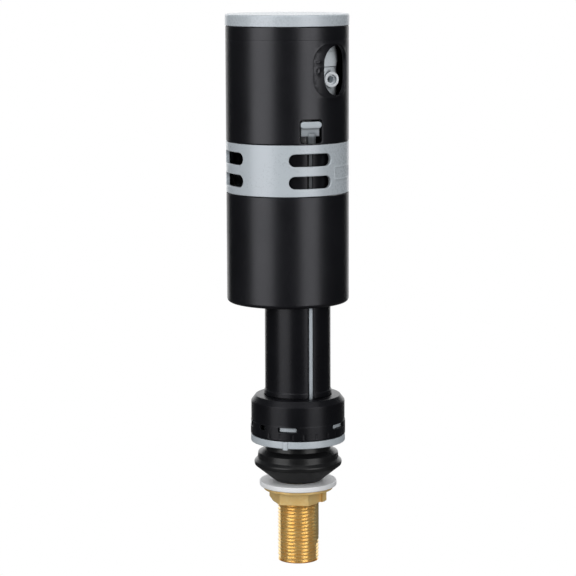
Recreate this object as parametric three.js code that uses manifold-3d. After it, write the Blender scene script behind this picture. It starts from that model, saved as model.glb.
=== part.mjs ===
// Bottom-entry toilet fill valve with a telescopic head, in millimetres, +Z up.
// The origin is on the stem axis at the clamp washer's top face, where the cistern floor would be.
// The front of the valve, with the height rod, faces -Y. Angles are degrees from -Y towards +X.
// The head (cap, housings, band and valve) is eccentric: its axis is behind the stem axis.
import * as THREE from "three";
import { mergeVertices } from "three/addons/utils/BufferGeometryUtils.js";
import Module from "manifold-3d";

const wasm = await Module();
wasm.setup();

// ---- Driving dimensions ----
const GAP = 0.3; // between pieces that touch
const LARGE = 36; // facets round a large circle
const MEDIUM = 24;
const SMALL = 12;

// Head shells, about the head axis
const HEAD_Y = 12.6; // the head axis stands this far behind the stem axis
const HEAD_R = 31;
const HEAD_WALL = 1.8;
const HEAD_BORE = HEAD_R - HEAD_WALL;
const CUP_BOTTOM = 90.7;
const BAND_BOTTOM = 146.8;
const BAND_TOP = 172.4;
const HOUSING_TOP = 230;
const CAP_TOP = 236;
const CAP_R = 31.2;
const SKIRT_INNER_R = 27.2; // the upper housing's skirt, which runs down inside the band
const SKIRT_OUTER_R = 28.9;
const SKIRT_BOTTOM = 149;

// Stem, on the origin
const STEM_R = 16.6;
const STEM_CLEAR_R = STEM_R + 0.5; // of what slides on the stem
const STEM_FLARE_R = 17.05;
const STEM_FOOT_R = 18.1;
const STEM_BORE = 14.6;
const STEM_FOOT = 24.9;
const STEM_TOP = 171;
const STEM_SLIT = 3.4;
const WATER_TUBE_R = 12.3;
const WATER_TUBE_BORE = 10.9;

// Brass tail: G1/2 parallel pipe thread
const THREAD_R = 10.4775;
const SHANK_BOTTOM = -41.6;
const SHANK_BORE = 6.5;
const BORE_OVER_THREAD = THREAD_R + 0.35; // bore of what slides or turns on the tail
const NUT_ACROSS_FLATS = 26;

// Locking ring and collar under the stem
const RING_BOTTOM = 20.9;
const RING_TOP = 24.5;
const RING_R = 23.9;
const COLLAR_TOP = 44.7;
const LUG_COUNT = 5;
const LUG_ANGLE = -35.4; // of the first lug
const LUG_SPAN = 22;
const LUG_BOTTOM = 29.2;
const LUG_TOP = 31.9;

// Valve
const VALVE_BOTTOM = 188;
const VALVE_TOP = 211.2;
const VALVE_R = 24.8;
const BONNET_R = 25.5;
const BONNET_BOTTOM = 211.65;
const BONNET_TOP = 218.3;
const BONNET_RISE = { angle: 27, span: 50, innerR: 15, top: 221.4 }; // behind the window
const BONNET_LIP = { innerR: 24.1, bottom: 210.2 }; // below the rise, in front of the valve body
const SCREW_CIRCLE_R = 22.6;
const OUTLET = { x: -19.8, y: 10.5 }; // the discharge tube's axis
const NOZZLE = {
  x: 14.4,
  z: 203.8,
  radius: 3.9,
  spigotR: 2.9,
  foot: 15.3, // distances in front of the head axis
  shoulder: 21.8,
  mouth: 22.9,
};

// Float gear
const FLOAT_ROD_Y = 39.9;
const PIVOT = { y: 19.6, z: 224 };
const FLAP_PIVOT = { y: 26.3, z: CUP_BOTTOM - 1.5 };

// ---- Colours ----
const BLACK = 0x141416;
const LIGHT_GREY = 0xc0c8cf;
const WHITE = 0xeceef0;
const BRASS = 0xd2a45a;
const RUBBER = 0x1b1b1c;
const STEEL = 0xb9bcc0;

// ---- Solids ----

// A closed geometry as a solid, after its seams and collapsed faces are cleaned.
function solidOf(geometry) {
  const source = geometry.index ? geometry.toNonIndexed() : geometry;
  const bare = new THREE.BufferGeometry();
  bare.setAttribute("position", source.getAttribute("position"));
  const merged = mergeVertices(bare, 1e-4);
  const corners = [];
  const index = merged.index.array;
  for (let i = 0; i < index.length; i += 3) {
    const [a, b, c] = index.slice(i, i + 3);
    if (a !== b && b !== c && c !== a) corners.push(a, b, c);
  }
  return new wasm.Manifold(
    new wasm.Mesh({
      numProp: 3,
      vertProperties: merged.attributes.position.array,
      triVerts: new Uint32Array(corners),
    }),
  );
}

function geometryOf(solid) {
  const mesh = solid.getMesh();
  const geometry = new THREE.BufferGeometry();
  geometry.setAttribute("position", new THREE.BufferAttribute(mesh.vertProperties, 3));
  geometry.setIndex(new THREE.BufferAttribute(mesh.triVerts, 1));
  geometry.computeVertexNormals();
  return geometry;
}

function join(...solids) {
  return solids.reduce((all, next) => all.add(next));
}

function cut(solid, ...tools) {
  return solid.subtract(join(...tools));
}

// A profile of [radius, z] points, closed on itself, turned about a vertical axis at (x, y).
function revolve(profile, facets = MEDIUM, x = 0, y = 0) {
  const points = profile.map(([r, z]) => new THREE.Vector2(r, z));
  if (THREE.ShapeUtils.area(points) < 0) points.reverse();
  points.push(points[0]);
  const geometry = new THREE.LatheGeometry(points, facets);
  geometry.rotateX(Math.PI / 2);
  geometry.scale(1, -1, 1);
  const index = geometry.index.array;
  for (let i = 0; i < index.length; i += 3) {
    [index[i + 1], index[i + 2]] = [index[i + 2], index[i + 1]];
  }
  geometry.translate(x, y, 0);
  const made = solidOf(geometry);
  if (made.volume() > 0) return made;
  throw new Error("profile turned inside out");
}

function ring(innerR, outerR, bottom, top, facets = MEDIUM, x = 0, y = 0) {
  const profile = [
    [innerR, bottom],
    [outerR, bottom],
    [outerR, top],
    [innerR, top],
  ];
  return revolve(profile, facets, x, y);
}

function cylinder(radius, bottom, top, facets = SMALL, x = 0, y = 0) {
  const geometry = new THREE.CylinderGeometry(radius, radius, top - bottom, facets);
  geometry.rotateX(Math.PI / 2);
  geometry.translate(x, y, (top + bottom) / 2);
  return solidOf(geometry);
}

// A round bar between two points.
function bar(radius, from, to, facets = SMALL) {
  const start = new THREE.Vector3(...from);
  const along = new THREE.Vector3(...to).sub(start);
  const geometry = new THREE.CylinderGeometry(radius, radius, along.length(), facets);
  geometry.translate(0, along.length() / 2, 0);
  const up = new THREE.Vector3(0, 1, 0);
  geometry.applyQuaternion(
    new THREE.Quaternion().setFromUnitVectors(up, along.clone().normalize()),
  );
  geometry.translate(start.x, start.y, start.z);
  return solidOf(geometry);
}

function block([x0, x1], [y0, y1], [z0, z1]) {
  const geometry = new THREE.BoxGeometry(x1 - x0, y1 - y0, z1 - z0);
  geometry.translate((x0 + x1) / 2, (y0 + y1) / 2, (z0 + z1) / 2);
  return solidOf(geometry);
}

function extrude(shape, depth, curveSegments = 1) {
  return new THREE.ExtrudeGeometry(shape, { depth, curveSegments, bevelEnabled: false });
}

// Part of a ring, `span` degrees wide and centred on `angle`, about a vertical axis at y.
function sector(innerR, outerR, angle, span, bottom, top, y = 0) {
  const start = THREE.MathUtils.degToRad(angle - span / 2 - 90);
  const end = THREE.MathUtils.degToRad(angle + span / 2 - 90);
  const shape = new THREE.Shape();
  shape.absarc(0, 0, outerR, start, end, false);
  shape.absarc(0, 0, innerR, end, start, true);
  const geometry = extrude(shape, top - bottom);
  geometry.translate(0, y, bottom);
  return solidOf(geometry);
}

function roundedRectangle(width, height, radius) {
  const w = width / 2;
  const h = height / 2;
  const shape = new THREE.Shape();
  shape.absarc(w - radius, h - radius, radius, 0, Math.PI / 2, false);
  shape.absarc(radius - w, h - radius, radius, Math.PI / 2, Math.PI, false);
  shape.absarc(radius - w, radius - h, radius, Math.PI, Math.PI * 1.5, false);
  shape.absarc(w - radius, radius - h, radius, Math.PI * 1.5, Math.PI * 2, false);
  return shape;
}

// A flat shape pushed outwards from `near` to `far` at an angle round a vertical axis at y.
function radial(shape, angle, z, near, far, y = 0) {
  const turn = THREE.MathUtils.degToRad(angle);
  const outward = new THREE.Vector3(Math.sin(turn), -Math.cos(turn), 0);
  const across = new THREE.Vector3(Math.cos(turn), Math.sin(turn), 0);
  const place = new THREE.Matrix4().makeBasis(across, new THREE.Vector3(0, 0, 1), outward);
  place.setPosition(outward.clone().multiplyScalar(near).add(new THREE.Vector3(0, y, z)));
  return solidOf(extrude(shape, far - near).applyMatrix4(place));
}

function torus(radius, thickness, z, facets = MEDIUM) {
  const geometry = new THREE.TorusGeometry(radius, thickness / 2, 6, facets);
  geometry.translate(0, 0, z);
  return solidOf(geometry);
}

// Points of an arc, for a rounded corner in a profile.
function corner(r, z, radius, fromDegrees, toDegrees, steps = 3) {
  const points = [];
  for (let i = 0; i <= steps; i += 1) {
    const angle = THREE.MathUtils.degToRad(
      fromDegrees + ((toDegrees - fromDegrees) * i) / steps,
    );
    points.push([r + radius * Math.cos(angle), z + radius * Math.sin(angle)]);
  }
  return points;
}

function hexagon(acrossFlats, cornerAngle) {
  const shape = new THREE.Shape();
  const cornerR = acrossFlats / Math.sqrt(3);
  for (let i = 0; i < 6; i += 1) {
    const angle = THREE.MathUtils.degToRad(cornerAngle + 60 * i - 90);
    const point = [cornerR * Math.cos(angle), cornerR * Math.sin(angle)];
    if (i === 0) shape.moveTo(...point);
    else shape.lineTo(...point);
  }
  shape.closePath();
  return shape;
}

// ---- Assembly ----
const valve = new THREE.Group();

function piece(name, color, solid, { roughness = 0.4, metalness = 0 } = {}) {
  const material = new THREE.MeshStandardMaterial({ color, roughness, metalness });
  const mesh = new THREE.Mesh(geometryOf(solid), material);
  mesh.name = name;
  valve.add(mesh);
}

const METAL = { roughness: 0.3, metalness: 1 };
const SOFT = { roughness: 0.75 };

// ---- Tail: shank, strainer, restrictor, seals, washer and nut ----
const FLANGE_BOTTOM = RING_TOP + GAP;
const FLANGE_TOP = FLANGE_BOTTOM + 3;
const FLANGE_R = 13.3;
const SPIGOT_R = 9.2;
const SPIGOT_TOP = 40;
const INSERT_R = SHANK_BORE - 0.35; // of what is pushed into the tail's bore

function shank() {
  return revolve(
    [
      [SHANK_BORE, SHANK_BOTTOM],
      [9.3, SHANK_BOTTOM],
      [THREAD_R, SHANK_BOTTOM + 1.2],
      [THREAD_R, FLANGE_BOTTOM],
      [FLANGE_R, FLANGE_BOTTOM],
      [FLANGE_R, FLANGE_TOP],
      [SPIGOT_R, FLANGE_TOP],
      [SPIGOT_R, SPIGOT_TOP],
      [SHANK_BORE, SPIGOT_TOP],
    ],
    MEDIUM,
  );
}

function inletStrainer() {
  const bottom = SHANK_BOTTOM + 3;
  const top = bottom + 15;
  const basketR = 5.2;
  const wall = 0.8;
  const rim = 1.2;
  const basket = revolve(
    [
      [0, top],
      [basketR - wall, top],
      [basketR - wall, bottom],
      [INSERT_R, bottom],
      [INSERT_R, bottom + rim],
      [basketR, bottom + rim],
      [basketR, top + wall],
      [0, top + wall],
    ],
    SMALL,
  );
  const slots = [0, 90, 180, 270].map((angle) =>
    radial(roundedRectangle(2.2, 9, 0.4), angle, bottom + 8, 3, 7),
  );
  return cut(basket, ...slots);
}

function coneWasher() {
  return revolve([
    [BORE_OVER_THREAD, GAP],
    [11.6, GAP],
    [22.0, 8.5],
    ...corner(21.4, 9.9, 1, -40, 60, 2),
    [20.1, 12.4],
    [20.1, 14.8],
    [16.8, 16.8],
    [16.2, RING_BOTTOM - GAP],
    [BORE_OVER_THREAD, RING_BOTTOM - GAP],
  ]);
}

const WASHER_THICK = 2.6;
const WASHER_R = 19.6;
const NUT_FLANGE = { top: -WASHER_THICK - GAP, bottom: -4.4, radius: 17.7 };
const NUT_BOTTOM = -10.8;
const NUT_CORNER_ANGLE = -2;

function clampWasher() {
  return revolve(
    [
      [BORE_OVER_THREAD, -WASHER_THICK],
      ...corner(WASHER_R - 1.1, -1.5, 1.1, -90, 0, 2),
      ...corner(WASHER_R - 0.6, -0.6, 0.6, 0, 90, 2),
      [BORE_OVER_THREAD, 0],
    ],
    MEDIUM,
  );
}

function backNut() {
  const flange = cylinder(NUT_FLANGE.radius, NUT_FLANGE.bottom, NUT_FLANGE.top, MEDIUM);
  const hexTop = NUT_FLANGE.top - 0.5;
  const hex = extrude(hexagon(NUT_ACROSS_FLATS, NUT_CORNER_ANGLE), hexTop - NUT_BOTTOM);
  hex.translate(0, 0, NUT_BOTTOM);
  const bore = cylinder(BORE_OVER_THREAD, NUT_BOTTOM - 1, 0, MEDIUM);
  return cut(join(flange, solidOf(hex)), bore);
}

piece("shank", BRASS, shank(), METAL);
piece("inlet_strainer", WHITE, inletStrainer());
piece("flow_restrictor", LIGHT_GREY, ring(1.6, INSERT_R, -20, -17, SMALL));
piece("shank_oring", RUBBER, torus(10.05, 1.4, 36), SOFT);
piece("cone_washer", RUBBER, coneWasher(), SOFT);
piece("clamp_washer", WHITE, clampWasher());
piece("back_nut", BRASS, backNut(), METAL);

// ---- Locking ring and collar ----
const RING_SLEEVE_INNER_R = 18.5;
const RING_SLEEVE_OUTER_R = 20.6;
const LUG_R = 22.3;
const COLLAR_R = 23.7;
const UNLOCK_TURN = 30; // between locked and free to lift off
const STEM_FOOT_THICK = 3;

function lugAngles() {
  return Array.from({ length: LUG_COUNT }, (_, i) => LUG_ANGLE + (360 / LUG_COUNT) * i);
}

function baseRing() {
  const body = revolve([
    [BORE_OVER_THREAD, RING_BOTTOM],
    [RING_R - 0.3, RING_BOTTOM],
    [RING_R, RING_BOTTOM + 0.3],
    [RING_R, RING_TOP],
    [RING_SLEEVE_OUTER_R, RING_TOP],
    [RING_SLEEVE_OUTER_R, LUG_TOP],
    [RING_SLEEVE_INNER_R, LUG_TOP],
    [RING_SLEEVE_INNER_R, RING_TOP],
    [BORE_OVER_THREAD, RING_TOP],
  ]);
  const lugs = lugAngles().map((angle) =>
    sector(RING_SLEEVE_OUTER_R - 0.5, LUG_R, angle, LUG_SPAN, LUG_BOTTOM, LUG_TOP),
  );
  const tab = sector(RING_R - 1, RING_R + 0.2, LUG_ANGLE - 2, 6, RING_BOTTOM - 0.5, RING_TOP);
  return join(body, tab, ...lugs);
}

function lockCollar() {
  const bottom = RING_TOP + GAP;
  const wallInnerR = RING_SLEEVE_OUTER_R + 0.4;
  const grooveR = LUG_R + 0.4;
  const bossInnerR = STEM_R + 0.4;
  const bossOuterR = RING_SLEEVE_INNER_R - GAP;
  const bossBottom = STEM_FOOT + STEM_FOOT_THICK + 0.5;
  const capBottom = COLLAR_TOP - 3.2;
  const body = revolve([
    [bossInnerR, bossBottom],
    [bossOuterR, bossBottom],
    [bossOuterR, capBottom],
    [wallInnerR, capBottom],
    [wallInnerR, LUG_TOP + GAP],
    [grooveR, LUG_TOP + GAP],
    [grooveR, LUG_BOTTOM - GAP],
    [wallInnerR, LUG_BOTTOM - GAP],
    [wallInnerR, bottom],
    [24, bottom],
    [24, 31.5],
    [COLLAR_R, 31.9],
    [COLLAR_R, 41.7],
    [COLLAR_R - 0.3, 42.3],
    [21.4, COLLAR_TOP - 0.2],
    [21.0, COLLAR_TOP],
    [bossInnerR, COLLAR_TOP],
  ]);
  const within = wallInnerR - 0.2;
  const beyond = COLLAR_R + 1;
  const windows = [];
  const exits = [];
  const stops = [];
  for (const angle of lugAngles()) {
    windows.push(sector(within, beyond, angle, LUG_SPAN + 2, LUG_BOTTOM - GAP, LUG_TOP + GAP));
    exits.push(sector(within, grooveR, angle - UNLOCK_TURN, LUG_SPAN + 4, bottom - 1, LUG_TOP));
    stops.push(sector(wallInnerR, COLLAR_R - 0.2, angle + 14, 3, LUG_BOTTOM - 1, LUG_TOP + 1));
  }
  const sight = sector(within, beyond, LUG_ANGLE - 35.6, 10, LUG_BOTTOM - GAP, LUG_TOP + GAP);
  return join(cut(body, sight, ...windows, ...exits), ...stops);
}

piece("base_ring", LIGHT_GREY, baseRing());
piece("lock_collar", BLACK, lockCollar());

// ---- Stem: slit outer sleeve and the water tube inside it ----
function stemSleeve() {
  const flareBottom = COLLAR_TOP + GAP;
  const body = revolve([
    [STEM_BORE, STEM_FOOT],
    [STEM_FOOT_R, STEM_FOOT],
    [STEM_FOOT_R, STEM_FOOT + STEM_FOOT_THICK],
    [STEM_R, STEM_FOOT + STEM_FOOT_THICK],
    [STEM_R, flareBottom],
    [STEM_FLARE_R, flareBottom],
    [STEM_FLARE_R, flareBottom + 2.3],
    [STEM_R, flareBottom + 2.7],
    [STEM_R, STEM_TOP],
    [STEM_BORE, STEM_TOP],
  ]);
  const half = STEM_SLIT / 2;
  return cut(body, block([-half, half], [-20, -10], [32, STEM_TOP + 1]));
}

function waterTube() {
  const bottom = FLANGE_TOP + GAP;
  const footR = 14.2;
  const footTop = bottom + 3;
  const top = STEM_TOP - 6;
  return revolve(
    [
      [WATER_TUBE_BORE, bottom],
      [footR, bottom],
      [footR, footTop],
      [WATER_TUBE_R, footTop],
      [WATER_TUBE_R, top],
      [WATER_TUBE_BORE, top],
    ],
    MEDIUM,
  );
}

piece("stem_sleeve", BLACK, stemSleeve());
piece("water_tube", WHITE, waterTube());

// ---- Head shells ----
const SLOT_WIDTH = 12;
const SLOT_TOP = 184.7;
const WINDOW = { angle: 30.7, z: 208.5, width: 18.4, height: 25 };
const DRAIN = { radius: 4.5, y: 33 }; // the hole in the cup's floor
const BAND_SLOT = { width: 23.6, height: 6.5, upperZ: 164.8, lowerZ: 153.75 };

function upperHousing() {
  const wall = revolve(
    [
      [SKIRT_INNER_R, SKIRT_BOTTOM],
      [SKIRT_OUTER_R, SKIRT_BOTTOM],
      [SKIRT_OUTER_R, BAND_TOP + GAP],
      [HEAD_R, BAND_TOP + GAP],
      [HEAD_R, HOUSING_TOP],
      [HEAD_BORE, HOUSING_TOP],
      [HEAD_BORE, 176.5],
      [SKIRT_INNER_R, 174.5],
    ],
    LARGE,
    0,
    HEAD_Y,
  );
  const ledges = [-118, -62, 62, 118].map((angle) =>
    sector(23.2, HEAD_BORE + 0.6, angle, 16, 184, VALVE_BOTTOM - GAP, HEAD_Y),
  );
  const window = radial(
    roundedRectangle(WINDOW.width, WINDOW.height, WINDOW.width / 2),
    WINDOW.angle,
    WINDOW.z,
    26,
    34,
    HEAD_Y,
  );
  const slotHeight = 40;
  const rodSlot = radial(
    roundedRectangle(SLOT_WIDTH, slotHeight, 2.3),
    0,
    SLOT_TOP - slotHeight / 2,
    24,
    34,
    HEAD_Y,
  );
  const below = SKIRT_BOTTOM - 1;
  const stemCutout = block([-13.4, 13.4], [-22, -6], [below, BAND_TOP + GAP]);
  const rodBack = HEAD_Y + HEAD_BORE - 0.05;
  const floatRodCutout = block([-2.6, 2.6], [36, rodBack], [below, 177]);
  const sideCutout = block([-HEAD_R, HEAD_R], [HEAD_Y - 12, HEAD_Y + 12], [below, BAND_TOP - 0.4]);
  return cut(join(wall, ...ledges), window, rodSlot, stemCutout, floatRodCutout, sideCutout);
}

function trimBand() {
  const body = ring(HEAD_BORE, HEAD_R, BAND_BOTTOM, BAND_TOP, LARGE, 0, HEAD_Y);
  const outline = roundedRectangle(BAND_SLOT.width, BAND_SLOT.height, BAND_SLOT.height / 2);
  const slots = [0, 90, 180, 270].flatMap((angle) =>
    [BAND_SLOT.lowerZ, BAND_SLOT.upperZ].map((z) =>
      radial(outline, angle, z, 24, 34, HEAD_Y),
    ),
  );
  const stemRelief = cylinder(STEM_CLEAR_R, BAND_BOTTOM - 1, BAND_TOP + 1, MEDIUM);
  return cut(body, stemRelief, ...slots);
}

function lowerCup() {
  const top = BAND_BOTTOM - GAP;
  const floor = CUP_BOTTOM + 2;
  const edge = 2;
  const fillet = 1;
  const tubeTop = 138;
  const shell = revolve(
    [
      [0, CUP_BOTTOM],
      ...corner(HEAD_R - edge, CUP_BOTTOM + edge, edge, -90, 0),
      [HEAD_R, top],
      [HEAD_BORE, top],
      [HEAD_BORE, floor + fillet],
      [HEAD_BORE - fillet, floor],
      [0, floor],
    ],
    LARGE,
    0,
    HEAD_Y,
  );
  const innerTube = cylinder(STEM_CLEAR_R + 1.45, CUP_BOTTOM, tubeTop, MEDIUM);
  const withinWall = cylinder(HEAD_R - 0.5, CUP_BOTTOM, tubeTop, LARGE, 0, HEAD_Y);
  const { y, z } = FLAP_PIVOT;
  const lugs = [-3.9, 3.9].map((x) =>
    block([x - 0.7, x + 0.7], [y - 1.1, y + 1.1], [z - 1.1, CUP_BOTTOM + 0.5]),
  );
  return cut(
    join(shell, innerTube.intersect(withinWall), ...lugs),
    cylinder(STEM_CLEAR_R, CUP_BOTTOM - 1, tubeTop + 1, MEDIUM),
    cylinder(3.2, CUP_BOTTOM - 1, floor + 1, SMALL, OUTLET.x, OUTLET.y),
    cylinder(DRAIN.radius, CUP_BOTTOM - 1, floor + 1, SMALL, 0, DRAIN.y),
    bar(0.85, [-6, y, z], [6, y, z], 12),
  );
}

function topCap() {
  const edge = 1.2;
  const plateBottom = CAP_TOP - 2;
  const shell = revolve(
    [
      [0, plateBottom],
      [HEAD_BORE + 0.2, plateBottom],
      [HEAD_BORE + 0.2, HOUSING_TOP + GAP],
      [CAP_R, HOUSING_TOP + GAP],
      ...corner(CAP_R - edge, CAP_TOP - edge, edge, 0, 90),
      [0, CAP_TOP],
    ],
    LARGE,
    0,
    HEAD_Y,
  );
  const clips = [-135, -45, 45, 135].map((angle) =>
    sector(27.2, HEAD_BORE - 0.4, angle, 24, 226, plateBottom + 0.5, HEAD_Y),
  );
  return join(shell, ...clips);
}

// The rod hangs in the housing's slot by its T-shaped head and runs down in the stem's slit.
function heightRod() {
  const stripTop = 178;
  const strip = block([-0.55, 1.6], [0.7 - STEM_R, -12.75], [33, stripTop]);
  const neck = cylinder(2.3, BAND_TOP + GAP + 0.2, stripTop, SMALL, 0.6, -16.3);
  const shoulder = block([-5.2, 4.7], [-17.1, -13.5], [176.5, 180.7]);
  const stalk = block([-3.5, 3.5], [-17.6, -14.5], [180, 183]);
  const head = radial(roundedRectangle(11.3, 3.6, 1.75), 0, 182.15, 15, 18.3);
  return join(strip, neck, shoulder, stalk, head);
}

piece("upper_housing", BLACK, upperHousing());
piece("trim_band", LIGHT_GREY, trimBand());
piece("lower_cup", BLACK, lowerCup());
piece("top_cap", LIGHT_GREY, topCap());
piece("height_rod", LIGHT_GREY, heightRod());

// ---- Riser, which slides in the water tube and feeds the valve ----
const RISER_R = 9;
const RISER_BORE = 6.3;
const RISER_BOTTOM = 76;
const RISER_TOP = 193.6;
const PISTON_R = 10.5;
const GROOVE_DEPTH = 1.4;
const GROOVE_HEIGHT = 2.4;

function groove(bottom, radius) {
  return [
    [radius, bottom],
    [radius - GROOVE_DEPTH, bottom],
    [radius - GROOVE_DEPTH, bottom + GROOVE_HEIGHT],
    [radius, bottom + GROOVE_HEIGHT],
  ];
}

function riserTube() {
  return revolve(
    [
      [RISER_BORE, RISER_BOTTOM],
      [PISTON_R, RISER_BOTTOM],
      ...groove(78.5, PISTON_R),
      ...groove(84, PISTON_R),
      [PISTON_R, 90],
      [RISER_R, 91.5],
      [RISER_R, 185],
      [11, 185],
      [11, VALVE_BOTTOM - GAP],
      [RISER_R, VALVE_BOTTOM - GAP],
      ...groove(189.6, RISER_R),
      [RISER_R, RISER_TOP],
      [RISER_BORE, RISER_TOP],
    ],
    MEDIUM,
  );
}

piece("riser_tube", WHITE, riserTube());
piece("riser_oring_lower", RUBBER, torus(10.05, 1.4, 79.7), SOFT);
piece("riser_oring_upper", RUBBER, torus(10.05, 1.4, 85.2), SOFT);
piece("riser_top_oring", RUBBER, torus(8.6, 1.3, 190.8), SOFT);

// ---- Diaphragm valve ----
const CHAMBER = { innerR: 9, outerR: 17.6, bottom: 202.5, top: 209.8 };
const DIAPHRAGM_R = 20.2;

function screwPlaces() {
  return [75, 165, 255, 345].map((angle) => {
    const turn = THREE.MathUtils.degToRad(angle);
    return [SCREW_CIRCLE_R * Math.sin(turn), HEAD_Y - SCREW_CIRCLE_R * Math.cos(turn)];
  });
}

// A round bar along the refill nozzle's axis, between two distances in front of the head axis.
function nozzleBar(radius, near, far) {
  const { x, z } = NOZZLE;
  return bar(radius, [x, HEAD_Y - near, z], [x, HEAD_Y - far, z], 20);
}

// Room for the bonnet's lip.
function lipSpace() {
  const near = BONNET_LIP.innerR - GAP;
  const wide = BONNET_RISE.span + 2;
  return sector(near, 26, BONNET_RISE.angle, wide, BONNET_LIP.bottom - GAP, VALVE_TOP + 1, HEAD_Y);
}

function valveBody() {
  const body = cylinder(VALVE_R, VALVE_BOTTOM, VALVE_TOP, LARGE, 0, HEAD_Y);
  const { innerR, outerR, bottom, top } = CHAMBER;
  const outletZ = 199;
  return cut(
    body,
    cylinder(DIAPHRAGM_R + GAP, 209.7, VALVE_TOP + 1, MEDIUM, 0, HEAD_Y),
    ring(innerR, outerR, bottom, top, MEDIUM, 0, HEAD_Y),
    cylinder(7.2, 200.5, top, 32, 0, HEAD_Y),
    ring(5, innerR + 1, 204.5, top, MEDIUM, 0, HEAD_Y),
    cylinder(4.6, 197, top, SMALL, 0, HEAD_Y),
    bar(2, [0, HEAD_Y, outletZ], [OUTLET.x, OUTLET.y, outletZ], 12),
    cylinder(3.2, VALVE_BOTTOM - 1, 200.5, SMALL, OUTLET.x, OUTLET.y),
    cylinder(9.6, VALVE_BOTTOM - 1, 194, MEDIUM),
    cylinder(2.8, 193, bottom + 1, SMALL, 0, -1.6),
    lipSpace(),
    nozzleBar(NOZZLE.spigotR + GAP, NOZZLE.foot - GAP, VALVE_R),
    nozzleBar(NOZZLE.radius + GAP, NOZZLE.shoulder - GAP, VALVE_R),
    ...screwPlaces().map(([x, y]) => cylinder(1.6, 198.5, VALVE_TOP + 1, 12, x, y)),
  );
}

function refillNozzle() {
  const { radius, spigotR, mouth, shoulder, foot } = NOZZLE;
  const body = join(nozzleBar(radius, shoulder, mouth), nozzleBar(spigotR, foot, mouth - 0.5));
  return cut(body, nozzleBar(2.45, mouth - 2.8, mouth + 1), nozzleBar(1.7, foot - 1, mouth));
}

function diaphragm() {
  return revolve(
    [
      [0.8, 208.5],
      [8.2, 208.5],
      [9, 209.3],
      [17.6, 209.95],
      [DIAPHRAGM_R, 209.95],
      [DIAPHRAGM_R, 211.35],
      [18, 211.35],
      [17.2, 210.6],
      [9, 210.1],
      [0.8, 210.1],
    ],
    MEDIUM,
    0,
    HEAD_Y,
  );
}

function bonnet() {
  const boss = cylinder(4, BONNET_TOP - 0.5, 219.2, SMALL, 0, HEAD_Y);
  const lid = cylinder(BONNET_R, BONNET_BOTTOM, BONNET_TOP, LARGE, 0, HEAD_Y);
  const { angle, span, innerR, top } = BONNET_RISE;
  const rise = sector(innerR, BONNET_R, angle, span, BONNET_TOP - 0.5, top, HEAD_Y);
  const lipTop = BONNET_BOTTOM + 1;
  const lip = sector(BONNET_LIP.innerR, BONNET_R, angle, span, BONNET_LIP.bottom, lipTop, HEAD_Y);
  const posts = [-4.5, 4.5].map((x) =>
    block([x - 1.1, x + 1.1], [PIVOT.y - 2.2, PIVOT.y + 2.2], [BONNET_TOP - 0.5, PIVOT.z + 2.4]),
  );
  return cut(
    join(lid, boss, rise, lip, ...posts),
    cylinder(17.8, BONNET_BOTTOM - 1, 216.8, MEDIUM, 0, HEAD_Y),
    cylinder(1.5, 215, 221, 12, 0, HEAD_Y),
    bar(1.3, [-7, PIVOT.y, PIVOT.z], [7, PIVOT.y, PIVOT.z], 12),
    ...screwPlaces().map(([x, y]) => cylinder(1.6, BONNET_BOTTOM - 1, BONNET_TOP + 1, 12, x, y)),
  );
}

function bonnetScrew(x, y) {
  const headBottom = BONNET_TOP + GAP;
  const head = cylinder(2.6, headBottom, headBottom + 1.8, SMALL, x, y);
  const shaft = cylinder(1.3, 199, headBottom + 0.5, 12, x, y);
  const slot = block([x - 3, x + 3], [y - 0.35, y + 0.35], [headBottom + 1, headBottom + 3]);
  return cut(join(head, shaft), slot);
}

piece("valve_body", LIGHT_GREY, valveBody());
piece("refill_nozzle", LIGHT_GREY, refillNozzle());
piece("valve_seat", STEEL, ring(5, 6.9, 200.8, 208.2, 32, 0, HEAD_Y), METAL);
piece("diaphragm", RUBBER, diaphragm(), SOFT);
piece("diaphragm_disc", WHITE, ring(1.2, 8, 210.4, 211.9, 32, 0, HEAD_Y));
piece("bonnet", LIGHT_GREY, bonnet());
screwPlaces().forEach(([x, y], i) => {
  piece(`bonnet_screw_${i + 1}`, STEEL, bonnetScrew(x, y), METAL);
});
piece(
  "discharge_tube",
  LIGHT_GREY,
  ring(2.1, 2.85, CUP_BOTTOM + 0.3, 196, SMALL, OUTLET.x, OUTLET.y),
);

// ---- Float, lever and pilot ----
const FLOAT = { bottom: 98, top: 140, outerR: 28.3, stemClearR: 19, frontY: 14.4 };
const FLOAT_STUD_Y = 32.5;

// The crescent of space behind the stem, shrunk on every side by `inset`.
function crescent(inset, bottom, top) {
  const round = cylinder(FLOAT.outerR - inset, bottom, top, LARGE, 0, HEAD_Y);
  const behind = block([-40, 40], [FLOAT.frontY + inset, 60], [bottom - 1, top + 1]);
  return cut(round.intersect(behind), cylinder(FLOAT.stemClearR + inset, bottom - 1, top + 1, MEDIUM));
}

function floatBody() {
  const wall = 1.5;
  const bossR = 3.6;
  const studHoleR = 1.8;
  const boss = cylinder(bossR, FLOAT.top - 8, FLOAT.top, SMALL, 0, FLOAT_STUD_Y);
  const space = crescent(wall, FLOAT.bottom - 1, FLOAT.top - wall);
  const shell = cut(crescent(0, FLOAT.bottom, FLOAT.top), space);
  const studHole = cylinder(studHoleR, FLOAT.top - 6.6, FLOAT.top + 1, SMALL, 0, FLOAT_STUD_Y);
  return cut(join(shell, boss), studHole);
}

function floatRod() {
  const footBottom = FLOAT.top + GAP;
  return join(
    cylinder(1.4, footBottom, 221.9, SMALL, 0, FLOAT_ROD_Y),
    block([-1.9, 1.9], [FLOAT_STUD_Y - 2, FLOAT_ROD_Y + 0.8], [footBottom, footBottom + 2.6]),
    cylinder(1.5, FLOAT.top - 6.2, footBottom + 1, SMALL, 0, FLOAT_STUD_Y),
  );
}

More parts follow.
